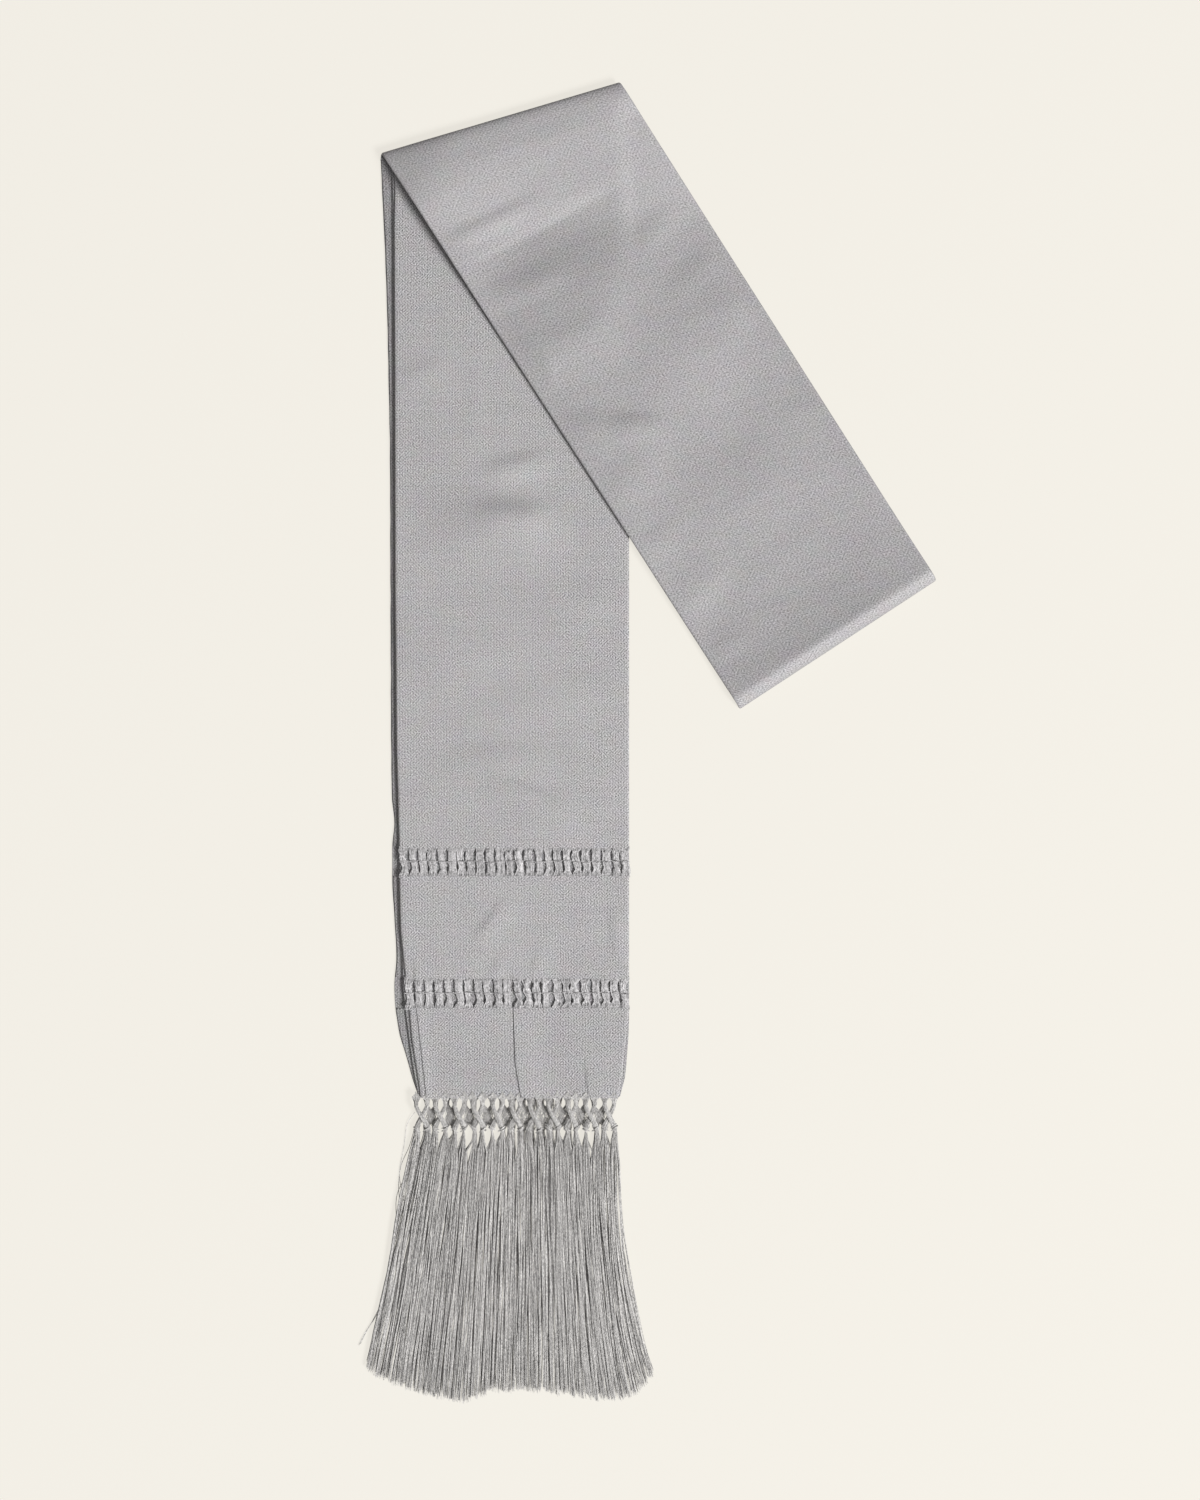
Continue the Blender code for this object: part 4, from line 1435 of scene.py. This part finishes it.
# Middle, length, angle, width to the left and to the right, rise, bend, and whether it is keen
BAND_CREASES = (
    Crease(-88.0, 384.0, 230.0, 16.6, 15.0, 46.0, 1.1),
    Crease(-68.6, 334.8, 150.0, 28.5, 11.0, 56.0, -2.1, -1.2, True),
    Crease(-103.0, 336.4, 100.0, 26.0, 9.0, 11.0, 1.6),
    Crease(-50.0, 286.0, 150.0, 25.0, 46.0, 60.0, 2.8),
    Crease(-82.0, 295.0, 96.0, 21.0, 17.0, 13.0, 1.3),
    Crease(-16.0, 346.0, 90.0, 93.0, 16.0, 9.0, 0.8),
    Crease(-50.0, 263.0, 90.0, 23.0, 20.0, 34.0, 1.7),
    Crease(-64.0, 243.0, 40.0, 100.0, 8.0, 8.0, 0.5),
    Crease(7.0, 334.0, 56.0, 44.0, 14.0, 12.0, 0.8),
    Crease(31.0, 306.0, 60.0, 46.0, 14.0, 14.0, 0.6),
    Crease(62.0, 286.0, 54.0, 30.0, 15.0, 18.0, 0.8),
    Crease(38.0, 270.0, 150.0, 50.0, 52.0, 60.0, 3.4),
    Crease(-26.0, 204.0, 104.0, -3.0, 15.0, 30.0, 1.7),
    Crease(-4.0, 206.0, 50.0, -6.0, 12.0, 18.0, 1.1),
    Crease(104.0, 217.0, 50.0, 5.0, 9.0, 22.0, 0.8),
    Crease(-11.0, 171.0, 76.0, 32.0, 22.0, 20.0, 1.1),
    Crease(6.0, 131.0, 50.0, 28.0, 13.0, 16.0, 0.7),
    Crease(34.0, 101.0, 70.0, 42.0, 24.0, 18.0, 1.2),
    Crease(50.0, 63.0, 46.0, 36.0, 16.0, 12.0, 0.7),
    Crease(68.0, 164.0, 130.0, 38.0, 46.0, 38.0, 1.7),
    Crease(98.0, 262.0, 70.0, 24.0, 20.0, 26.0, 0.9),
)


# Fringe

@dataclass(frozen=True)
class Parting:
    """A place under the knots where the threads of both fringes stand apart and the floor shows."""

    x: float
    foot: float
    half_width: float
    top: float = -252.0
    reach: float = 3.8

    def parted(self, x: np.ndarray, y: np.ndarray) -> np.ndarray:
        """Plan places with the threads by the parting pushed aside.

        Args:
            x: Each thread's place.
            y: Each thread's height up the fringe.

        Returns:
            The new places.
        """
        half = self.half_width * np.sqrt(np.clip((y - self.foot) / (self.top - self.foot), 0.0, 1.0))
        away = x - self.x
        pushed = self.x + np.where(away < 0.0, -1.0, 1.0) * mix(half, self.reach, np.abs(away) / self.reach)
        return np.where(np.abs(away) < self.reach, pushed, x)


@dataclass(frozen=True)
class FringePlan:
    """Where the knotted fringe's groups, knots, partings and ends lie."""

    hem_y: float = -230.4
    pairs: int = 11
    first_pair: float = -146.9
    last_pair: float = -24.7
    offset: float = 3.1
    neck_y: float = -235.4
    knot_y: float = -249.6
    foot_left: float = -182.4
    foot_right: float = 3.2
    # Share of the foot's width, and where the threads end there
    foot: tuple[tuple[float, float], ...] = (
        (0.00, -409.0), (0.04, -415.0), (0.10, -419.5), (0.22, -426.0), (0.34, -430.6), (0.43, -424.0),
        (0.56, -422.5), (0.70, -426.0), (0.80, -429.0), (0.92, -428.0), (0.97, -421.0), (1.00, -412.0),
    )
    # Place over the fringe, where it closes, and half its width
    partings: tuple[Parting, ...] = (
        Parting(-134.7, -255.0, 1.2),
        Parting(-128.6, -257.0, 1.4),
        Parting(-122.5, -260.0, 1.4),
        Parting(-116.3, -273.0, 2.2),
        Parting(-104.1, -264.5, 2.1),
        Parting(-98.0, -258.0, 2.2),
        Parting(-55.2, -257.0, 1.8),
        Parting(-43.0, -259.5, 1.9),
        Parting(-36.9, -267.0, 2.0),
        Parting(-24.7, -258.0, 1.5),
    )

    def middles(self) -> np.ndarray:
        """X of the middle of each crossed pair."""
        return np.linspace(self.first_pair, self.last_pair, self.pairs)

    def foot_y(self, share: np.ndarray) -> np.ndarray:
        """Where the threads end, at a share of the foot's width."""
        shares, ends = zip(*self.foot)
        return np.interp(share, shares, ends)

    def parted(self, x: np.ndarray, y: np.ndarray) -> np.ndarray:
        """Push threads aside at all the partings.

        Args:
            x: Each thread's place.
            y: Each thread's height up the fringe.

        Returns:
            The new places.
        """
        for parting in self.partings:
            x = parting.parted(x, y)
        return x


@dataclass
class Gathering:
    """One group of threads on its way from the hem to the foot, station by station."""

    tassel: int
    start_x: float
    end_x: float
    cord: float
    over: float
    stray: float
    across: np.ndarray
    deep: np.ndarray
    stations: list[np.ndarray] = field(default_factory=list)

    def add(self, x: np.ndarray, y: np.ndarray | float, z: np.ndarray | float) -> None:
        """Add a station to every thread."""
        self.stations.append(np.stack(np.broadcast_arrays(x, y, z), -1))


@dataclass(frozen=True)
class FringeThreads:
    """The threads of one fringe: gathered, crossed in pairs, knotted, and hanging free as tassels."""

    name: str
    node: str
    slot: str
    threads: int
    hem_height: float
    front_height: float
    back_height: float
    knot_height: float
    cord_depth: float
    free_heights: tuple[float, float]
    cord_width: float = 3.9
    closing_shift: float = 0.0
    closing_width: float = 0.0
    closed_middle: float = -73.0
    closed_reach: float = 19.0
    belly: float = 0.0
    plan: FringePlan = FringePlan()
    strands: int = 4
    strand_groove: float = 0.085
    unevenness: float = 0.45
    knot_unevenness: float = 0.7
    hem_share: float = 0.95
    tuft: float = 3.2
    tuft_foot: float = 0.8
    tuft_rise: float = 0.6
    tuft_power: float = 1.5
    tuft_spread: tuple[float, float] = (0.5, 1.4)
    bend_drop: float = 0.5
    bend_share: float = 0.84
    neck_drop: float = 2.2
    neck_share: float = 0.32
    neck_gather: float = 0.9
    neck_rise: float = 0.6
    cord_halves: tuple[float, float] = (0.31, 0.48)
    cord_curve: float = 0.35
    cord_twist: float = 70.0
    # How far under the knot, half width of the tassel there, and its half depth as a share of the cord's
    heads: tuple[tuple[float, float, float], ...] = ((2.6, 1.75, 0.62), (5.0, 2.1, 0.66))
    radius: float = 0.2
    free_radius: float = 0.27
    swelling_start: int = 9
    tip_share: float = 0.55
    yarns: int = 9
    yarn_mixing: float = 0.2
    yarn_tightness: float = 0.9
    yarn_wander: float = 0.035
    yarn_lengths: float = 4.5
    thread_lengths: float = 2.2
    foot_wander: float = 0.7
    lane_overlap: float = 1.1
    fan_start: float = 0.6
    fan_power: float = 2.3
    spreading: float = 7.0
    late_spreading: float = 4.0
    settling: float = 1.8
    settled_wander: float = 0.2
    # How wide each wave of the free threads is, and how many half turns it has
    thread_wave: tuple[float, float] = (0.35, 3.5)
    yarn_wave: tuple[float, float] = (0.75, 2.6)
    ripple: tuple[float, float] = (0.25, 4.0)
    free_stations: int = 11
    station_power: float = 1.6
    floor_clearance: float = 0.04
    seed: int = 11

    def build(self, material: bpy.types.Material) -> bpy.types.Object:
        """Make the fringe's threads.

        Args:
            material: Their finish.

        Returns:
            The piece.
        """
        chance = np.random.default_rng(self.seed)
        paths, radii = [], []
        for pair, middle in enumerate(self.plan.middles()):
            for side in (0, 1):
                path, radius = self.group(2 * pair + side, middle, side, chance)
                paths.append(path)
                radii.append(radius)
        draft = Draft()
        paths = np.concatenate(paths)
        draft.add_tubes(paths, np.concatenate(radii), np.arange(len(paths), dtype=float))
        piece = draft.build(self.name, material, THREAD_SHARP)
        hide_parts(self.node)
        return piece

    def group(self, tassel: int, middle: float, side: int, chance: np.random.Generator
              ) -> tuple[np.ndarray, np.ndarray]:
        """The threads that end in one tassel.

        Args:
            tassel: Its number from the left.
            middle: X of the middle of its pair.
            side: 0 for the left tassel, whose threads cross from the right, and 1 for the right one.
            chance: Seeded chance.

        Returns:
            The threads' paths, and their radii.
        """
        count = self.threads
        closed = math.exp(-((middle - self.closed_middle) / self.closed_reach) ** 2)
        strays = chance.normal(0.0, self.unevenness, 3)
        centre = middle + self.closing_shift * closed
        reach = self.plan.offset * (2 * side - 1)
        ring = np.sqrt((np.arange(count) + 0.5) / count)
        turn = np.arange(count) * GOLDEN_TURN + chance.uniform(0.0, math.tau)
        across = ring * np.cos(turn)
        gathering = Gathering(
            tassel=tassel, start_x=centre - reach + strays[1],
            end_x=centre + reach + self.knot_unevenness * strays[0],
            cord=self.cord_width * (1.0 + self.closing_width * closed),
            over=self.front_height if side == 1 else self.back_height, stray=strays[2],
            across=across - self.strand_groove * np.sin(self.strands * math.pi * across),
            deep=ring * np.sin(turn))
        self.add_head(gathering, chance)
        self.add_crossing(gathering)
        self.add_free(gathering, chance)
        path = np.stack(gathering.stations, axis=1)
        radius = np.full(path.shape[:2], self.radius)
        freed = path.shape[1] - self.swelling_start
        radius[:, self.swelling_start:] = mix(self.radius, self.free_radius,
                                              smooth(np.linspace(0.0, 3.0, freed)))
        radius[:, -1] *= self.tip_share
        return path, radius

    def add_head(self, group: Gathering, chance: np.random.Generator) -> None:
        """Add the stretch at the hem, where the threads leave the cloth in a tuft and gather to a cord.

        Args:
            group: The group of threads.
            chance: Seeded chance.
        """
        plan, deep = self.plan, group.deep
        spread = (np.argsort(np.argsort(group.across)) + 0.5) / self.threads - 0.5
        wide = spread * 2.0 * plan.offset * self.hem_share
        tuft = self.tuft * (1.0 - np.abs(2.0 * spread)) ** self.tuft_power
        tuft = tuft * chance.uniform(*self.tuft_spread, self.threads)
        group.add(group.start_x + wide, plan.hem_y + self.tuft_foot + tuft,
                  self.hem_height + self.tuft_rise + 0.1 * deep)
        group.add(group.start_x + wide * self.bend_share, plan.hem_y - self.bend_drop,
                  self.hem_height + 0.2 * deep)
        group.add(group.start_x + mix(wide, group.across * group.cord * self.neck_share, self.neck_gather),
                  plan.hem_y - self.neck_drop + group.stray,
                  mix(self.hem_height, group.over, self.neck_rise) + 0.5 * self.cord_depth * deep)

    def add_crossing(self, group: Gathering) -> None:
        """Add the cord that crosses its neighbour, and the head of its tassel under the knot.

        Args:
            group: The group of threads.
        """
        plan = self.plan
        for share in (0.0, 0.25, 0.5, 0.75, 1.0):
            x = mix(group.start_x, group.end_x, mix(share, smooth(share), self.cord_curve))
            twist = math.radians(self.cord_twist) * (share - 0.5)
            wide = group.across * math.cos(twist) - group.deep * math.sin(twist)
            high = group.across * math.sin(twist) + group.deep * math.cos(twist)
            height = mix(group.over, self.knot_height, smooth(share * 2.0 - 1.0))
            half = group.cord * (mix(*self.cord_halves, share) + self.belly * math.sin(math.pi * share))
            group.add(x + wide * half, mix(plan.neck_y, plan.knot_y, share) + group.stray * (1.0 - share),
                      height + high * self.cord_depth / 2.0)
        for drop, half, thick in self.heads:
            y = np.full(self.threads, plan.knot_y - drop)
            group.add(plan.parted(group.end_x + group.across * half, y), y,
                      self.knot_height + group.deep * self.cord_depth * thick)

    def add_free(self, group: Gathering, chance: np.random.Generator) -> None:
        """Add the free stretch, where the threads hang in thin yarns and soon fill the tassel's lane.

        Args:
            group: The group of threads.
            chance: Seeded chance.
        """
        plan, count, deep = self.plan, self.threads, group.deep
        mixed = group.across + chance.normal(0.0, self.yarn_mixing, count)
        order = (np.argsort(np.argsort(mixed)) + 0.5) / count
        yarn = np.minimum((order * self.yarns).astype(int), self.yarns - 1)
        inside = order * self.yarns - yarn - 0.5
        place = (yarn + 0.5 + self.yarn_tightness * inside) / self.yarns - 0.5
        place = place + chance.normal(0.0, self.yarn_wander, self.yarns)[yarn]
        tassels = 2 * plan.pairs
        lane_share = (group.tassel + 0.5 + place) / tassels
        foot_y = plan.foot_y(lane_share) + chance.uniform(0.0, self.yarn_lengths, self.yarns)[yarn]
        foot_y = foot_y + np.abs(chance.normal(0.0, self.thread_lengths, count))
        foot_middle = mix(plan.foot_left, plan.foot_right, (group.tassel + 0.5) / tassels)
        foot_middle = foot_middle + chance.normal(0.0, self.foot_wander)
        foot_lane = (plan.foot_right - plan.foot_left) / tassels * self.lane_overlap
        top_lane = 2.0 * plan.offset * self.lane_overlap
        power = mix(1.0, self.fan_power, smooth((lane_share - self.fan_start) / (1.0 - self.fan_start)))
        phase = chance.uniform(0.0, math.tau, (2, count))
        yarn_phase = chance.uniform(0.0, math.tau, (2, self.yarns))[:, yarn]
        spreading = mix(self.spreading, self.late_spreading * self.spreading, chance.uniform(0.0, 1.0) ** 2)
        level = 0.5 + 0.5 * deep + chance.normal(0.0, self.settled_wander, self.yarns)[yarn]
        settled = mix(*self.free_heights, np.clip(level, 0.0, 1.0))
        head_drop, head_half, head_thick = self.heads[-1]
        knotted = self.knot_height + deep * self.cord_depth * head_thick
        for step in range(1, self.free_stations + 1):
            share = (step / self.free_stations) ** self.station_power
            loose = smooth(share * spreading)
            middle = mix(group.end_x, foot_middle, share ** power)
            x = middle + mix(group.across * head_half, place * mix(top_lane, foot_lane, share), loose)
            x = x + loose * self.wave(self.thread_wave, share, phase[0])
            x = x + loose * self.wave(self.yarn_wave, share, yarn_phase[0]) * math.sin(math.pi * share)
            z = mix(knotted, settled, smooth(share * self.settling))
            z = z + loose * self.wave(self.ripple, share, yarn_phase[1])
            y = mix(plan.knot_y - head_drop, foot_y, share)
            group.add(plan.parted(x, y), y, np.maximum(z, self.free_radius + self.floor_clearance))

    @staticmethod
    def wave(shape: tuple[float, float], share: float, phase: np.ndarray) -> np.ndarray:
        """A wave along the free threads.

        Args:
            shape: How wide it is, and how many half turns it has down the whole length.
            share: How far down the threads.
            phase: Where each thread's wave starts.

        Returns:
            How far each thread is out of line.
        """
        width, turns = shape
        return width * np.sin(turns * math.pi * share + phase)


@dataclass(frozen=True)
class KnotWraps:
    """The turns of thread round each tassel's knot."""

    plan: FringePlan = FringePlan()
    height: float = 3.1
    wide: float = 2.2
    deep: float = 1.45
    turns: float = 1.3
    start: float = 0.4
    run: float = 2.4
    slope: float = 1.3
    wander: float = 1.3
    radius: float = 0.36
    stations: int = 22
    seed: int = 17

    def build(self, material: bpy.types.Material) -> bpy.types.Object:
        """Make the wraps.

        Args:
            material: Their finish.

        Returns:
            The piece.
        """
        chance = np.random.default_rng(self.seed)
        share = np.linspace(0.0, 1.0, self.stations)
        loops, outward = [], []
        for middle in self.plan.middles():
            for side in (-1.0, 1.0):
                turn = math.tau * self.turns * share * side + chance.uniform(0.0, math.tau)
                x = middle + side * self.plan.offset + self.wide * np.cos(turn)
                y = self.plan.knot_y + self.start - self.run * share + self.slope * np.cos(turn) * side
                y = y + chance.uniform(-self.wander, self.wander)
                z = self.height + self.deep * np.sin(turn)
                loops.append(np.stack((x, y, z), -1))
                outward.append(np.stack((np.cos(turn), np.zeros_like(turn), np.sin(turn)), -1))
        draft = Draft()
        loops = np.array(loops)
        radii = np.full(loops.shape[:2], self.radius)
        draft.add_tubes(loops, radii, np.arange(len(loops)) * 1.7, np.array(outward))
        piece = draft.build("fringe_knots", material, THREAD_SHARP)
        return piece


@dataclass(frozen=True)
class LooseThreads:
    """Threads that have strayed from the fringe on its left side."""

    # X, Y and height of the places that each thread passes through
    strands: tuple[tuple[tuple[float, float, float], ...], ...] = (
        ((-164.0, -330.0, 0.8), (-171.0, -358.0, 0.7), (-178.0, -374.0, 0.5), (-184.0, -384.0, 0.4),
         (-188.0, -392.0, 0.4)),
        ((-163.4, -332.0, 1.1), (-170.0, -359.0, 0.9), (-177.0, -373.0, 0.6), (-182.5, -382.0, 0.5),
         (-187.0, -391.0, 0.5)),
        ((-151.0, -248.0, 1.2), (-155.0, -262.0, 0.7), (-160.5, -275.0, 0.4), (-162.0, -290.0, 0.4),
         (-160.0, -306.0, 0.8)),
        ((-151.5, -240.0, 1.2), (-156.5, -248.0, 0.6), (-158.5, -262.0, 0.4), (-161.5, -281.0, 0.4),
         (-158.0, -300.0, 0.9)),
        ((-151.0, -250.0, 1.4), (-154.0, -268.0, 0.9), (-158.0, -282.0, 0.5), (-163.5, -296.0, 0.4),
         (-163.0, -318.0, 0.9)),
    )
    radius: float = 0.26
    samples: int = 25

    def build(self, material: bpy.types.Material) -> bpy.types.Object:
        """Make the loose threads.

        Args:
            material: Their finish.

        Returns:
            The piece.
        """
        draft = Draft()
        paths = []
        for strand in self.strands:
            knots = np.array(strand)
            share = np.linspace(0.0, len(knots) - 1.0, self.samples)
            path = np.stack([self.curve(knots[:, axis], share) for axis in range(3)], -1)
            paths.append(path)
        paths = np.array(paths)
        draft.add_tubes(paths, np.full(paths.shape[:2], self.radius), np.arange(len(paths)) * 5.0)
        piece = draft.build("loose_threads", material, THREAD_SHARP)
        return piece

    @staticmethod
    def curve(values: np.ndarray, share: np.ndarray) -> np.ndarray:
        """A soft curve through a row of values.

        Args:
            values: What it passes through.
            share: Where to read it, from 0 to the number of the last value.

        Returns:
            The values read.
        """
        index = np.clip(share.astype(int), 0, len(values) - 2)
        step = share - index
        before = values[np.maximum(index - 1, 0)]
        start, end = values[index], values[index + 1]
        after = values[np.minimum(index + 2, len(values) - 1)]
        square = 2.0 * before - 5.0 * start + 4.0 * end - after
        cube = 3.0 * start - before - 3.0 * end + after
        return 0.5 * (2.0 * start + (end - before) * step + square * step**2 + cube * step**3)


# Surroundings

@dataclass(frozen=True)
class Studio:
    """The camera straight above, soft light from the lower right and a plain cream floor."""

    centre: tuple[float, float] = (-0.0309, -0.0042)
    distance: float = 2.6
    view_height: float = 0.975
    focus_height: float = 0.005
    sensor: float = 36.0
    key_azimuth: float = -38.0
    key_elevation: float = 42.0
    light_distance: float = 7.0
    key_size: float = 2.2
    key_power: float = 570.0
    fill_azimuth: float = 120.0
    fill_elevation: float = 62.0
    fill_size: float = 5.0
    fill_power: float = 42.0
    sky: float = 0.15
    sky_colour: tuple[float, float, float] = (1.0, 0.99, 0.97)
    floor_reach: float = 4.0
    floor_drop: float = 0.2
    floor_roughness: float = 0.9
    floor_colour: tuple[float, float, float] = (0.12, 0.117, 0.107)
    floor_glow: tuple[float, float, float] = (0.905, 0.871, 0.799)
    glow: float = 0.847
    bounce: float = 0.33

    def build(self) -> None:
        """Set up the camera, the lights and the floor."""
        self.add_camera()
        self.add_light("key", self.key_azimuth, self.key_elevation, self.key_power, self.key_size)
        self.add_light("fill", self.fill_azimuth, self.fill_elevation, self.fill_power, self.fill_size)
        self.add_sky()
        self.add_floor()
        bpy.context.scene.view_settings.view_transform = "Standard"

    def add_camera(self) -> None:
        """A camera that looks straight down on the shawl."""
        data = bpy.data.cameras.new("camera")
        data.sensor_width = self.sensor
        data.lens = self.sensor * (self.distance - self.focus_height) / self.view_height
        camera = bpy.data.objects.new("camera", data)
        camera.location = (*self.centre, self.distance)
        bpy.context.scene.collection.objects.link(camera)
        bpy.context.scene.camera = camera

    def add_light(self, name: str, azimuth: float, elevation: float, power: float, size: float) -> None:
        """An area light that faces the shawl.

        Args:
            name: Its name.
            azimuth: Its direction in plan, in degrees from +X.
            elevation: Its height above the floor, in degrees.
            power: Its power in watts.
            size: The length of its side in metres.
        """
        data = bpy.data.lights.new(name, "AREA")
        data.energy = power
        data.size = size
        lamp = bpy.data.objects.new(name, data)
        turn, rise = math.radians(azimuth), math.radians(elevation)
        away = self.light_distance * math.cos(rise)
        lamp.location = (self.centre[0] + away * math.cos(turn), self.centre[1] + away * math.sin(turn),
                         self.light_distance * math.sin(rise))
        lamp.rotation_euler = (0.0, math.radians(90.0) - rise, turn)
        bpy.context.scene.collection.objects.link(lamp)

    def add_sky(self) -> None:
        """Even light from all round."""
        world = bpy.data.worlds.new("soft_room")
        world.use_nodes = True
        shade = world.node_tree.nodes["Background"]
        shade.inputs["Color"].default_value = (*self.sky_colour, 1.0)
        shade.inputs["Strength"].default_value = self.sky
        bpy.context.scene.world = world

    def add_floor(self) -> None:
        """A plain cream floor, bright enough in itself to keep the shadows on it faint."""
        material, wiring, shader = start_material("plain_floor")
        shader.inputs["Base Color"].default_value = (*self.floor_colour, 1.0)
        shader.inputs["Roughness"].default_value = self.floor_roughness
        shader.inputs["Emission Color"].default_value = (*self.floor_glow, 1.0)
        seen = wiring.node("ShaderNodeLightPath").outputs["Is Camera Ray"]
        bounced = self.glow * self.bounce
        strength = wiring.math("MULTIPLY_ADD", seen, self.glow - bounced, bounced)
        wiring.feed(shader.inputs["Emission Strength"], strength)
        mesh = bpy.data.meshes.new("floor")
        corners = [(x * self.floor_reach, y * self.floor_reach, -self.floor_drop * MM)
                   for x, y in ((-1, -1), (1, -1), (1, 1), (-1, 1))]
        mesh.from_pydata(corners, [], [(0, 1, 2, 3)])
        mesh.materials.append(material)
        floor = bpy.data.objects.new("floor", mesh)
        bpy.context.scene.collection.objects.link(floor)


@dataclass
class Shawl:
    """The whole shawl, sub-assembly by sub-assembly, with the flat sizes of its folded sheets in metres."""

    groups: EffectGroups = field(default_factory=EffectGroups)
    leg: LegCloth = LegCloth()
    band: BandPlan = BandPlan()
    width: float = 0.155
    leg_length: float = 0.655
    leg_gather: float = 0.018
    band_length: float = 0.44
    band_turn: float = 0.015

    def build(self) -> list[bpy.types.Object]:
        """Build every piece.

        Returns:
            The pieces, in the order that they are built.
        """
        # The leg's colour is darkened a little towards the hem: painted shade for cloth that tilts away from
        # the light there.
        silk = SilkFinish("silk_twill", painted_light=-0.05, painted_light_start=-185.0, painted_light_end=-120.0).make(self.groups)
        # The band is the same silk as the leg. Its darker colour is painted shade for the weaker sheen it
        # shows under this light, and the lightening near the slanted fold is a painted sheen.
        turned = SilkFinish("silk_twill_turned_painted_light", colour=(0.425, 0.412, 0.420), roughness=0.55, pitch=1.7,
                            relief=0.3, grain=0.92, unevenness=0.7, grain_size=1.02, painted_light=0.17
                            ).make(self.groups)
        # A darker copy of the silk for the hidden layers: painted shade for the shadow that their edges lie
        # in.
        inside = SilkFinish("silk_twill_inside", colour=(0.36, 0.35, 0.355)).make(self.groups)
        thread = ThreadFinish("silk_thread").make(self.groups)
        # A darker copy of the thread for the fringe beneath: painted shade for the shadow of the fringe
        # above it.
        shaded = ThreadFinish("silk_thread_painted_shade", colour=(0.43, 0.418, 0.408)).make(self.groups)
        drawn = ThreadFinish("drawn_silk_thread", colour=(0.555, 0.541, 0.546), roughness=0.5, spread=0.9,
                             crimp=3.3).make(self.groups)
        layers = self.build_leg_layers(inside)
        leg = self.leg.build(silk)
        work = DrawnThreads(self.leg).build(drawn)
        fringes = self.build_fringes(thread, shaded)
        return [*layers, leg, work, *fringes, *self.build_band(turned, inside)]

    def build_leg_layers(self, material: bpy.types.Material) -> list[bpy.types.Object]:
        """Build the leg's hidden layers, from the lowest up.

        Args:
            material: Their finish, a darker copy of the silk: painted shade.

        Returns:
            The pieces.
        """
        low, high = (Edge.LOWER_LEFT, Edge.LOWER_RIGHT), (Edge.INNER_LEFT, Edge.TOP_RIGHT)
        leaves = (
            LegLeaf(1, *low, inset=0.3, setback=0.4, floor=0.05, opened=False, reach=3.4),
            LegLeaf(2, *low, inset=0.9, setback=0.9, floor=0.90, reach=3.0),
            LegLeaf(3, *high, inset=2.6, setback=0.3, floor=1.78),
            LegLeaf(4, *high, inset=3.2, setback=0.9, floor=2.64, opened=False),
        )
        built, under = [], "floor"
        for leaf in leaves:
            piece = leaf.build(self.leg.plan, material, self.leg.top_row + leaf.reach)
            built.append(piece)
            under = piece.name
        return built

    def build_band(self, outside: bpy.types.Material, inside: bpy.types.Material
                   ) -> list[bpy.types.Object]:
        """Build the turned-over band's layers.

        Args:
            outside: Finish of the cloth that shows.
            inside: Finish of the layers under it, a darker copy of the silk: painted shade.

        Returns:
            The pieces, from the cloth that shows inwards.
        """
        cloth = BandLayer("band_cloth", "outer_cloth", "silk_band", creases=BAND_CREASES)
        built = [cloth.build(self.band, outside)]
        # How far each layer lies under the outer surface, and how far in its sides are
        for number, (skin, inset) in enumerate(((1.25, 1.6), (2.1, 0.9), (2.95, 2.1), (3.55, 1.2)), 1):
            layer = BandLayer(f"band_layer_{number}", "band_inner", "silk_inside", skin=skin, inset=inset,
                              column_step=3.4, row_step=3.4, wrap=-50.0,
                              edge=FoldedEdge(radius=0.45, thickness=0.44, steps=3), creases=BAND_CREASES)
            built.append(layer.build(self.band, inside))
        return built

    @staticmethod
    def build_fringes(material: bpy.types.Material, painted_shade: bpy.types.Material) -> list[bpy.types.Object]:
        """Build both fringes, the knots and the stray threads.

        Args:
            material: Finish of the fringe that lies on top.
            painted_shade: Finish of the fringe under it, a darker copy of the thread: painted shade.

        Returns:
            The pieces.
        """
        top = FringeThreads("knotted_fringe", "fringe_top", "fringe_thread", threads=54, hem_height=4.45,
                            front_height=5.6, back_height=2.2, knot_height=3.0, cord_depth=2.2,
                            free_heights=(1.7, 3.6))
        under = FringeThreads("under_fringe", "fringe_under", "fringe_thread_under", threads=28,
                              hem_height=1.0, front_height=1.15, back_height=0.6, knot_height=0.9,
                              cord_depth=0.6, free_heights=(0.35, 1.5), closing_shift=1.5,
                              closing_width=1.0, belly=0.42, tuft=0.0, tuft_rise=0.0, free_radius=0.33,
                              plan=FringePlan(pairs=10, first_pair=-140.8, last_pair=-30.8),
                              yarn_tightness=1.0, lane_overlap=1.3, seed=31)
        return [top.build(material), KnotWraps().build(material), under.build(painted_shade),
                LooseThreads().build(material)]


def main() -> None:
    """Build the shawl and its surroundings, and report each piece's faces."""
    logging.basicConfig(level=logging.INFO, format="%(name)s %(message)s")
    Studio().build()
    for piece in Shawl().build():
        LOG.info("%s: %d faces", piece.name, len(piece.data.polygons))


if __name__ == "__main__":
    main()
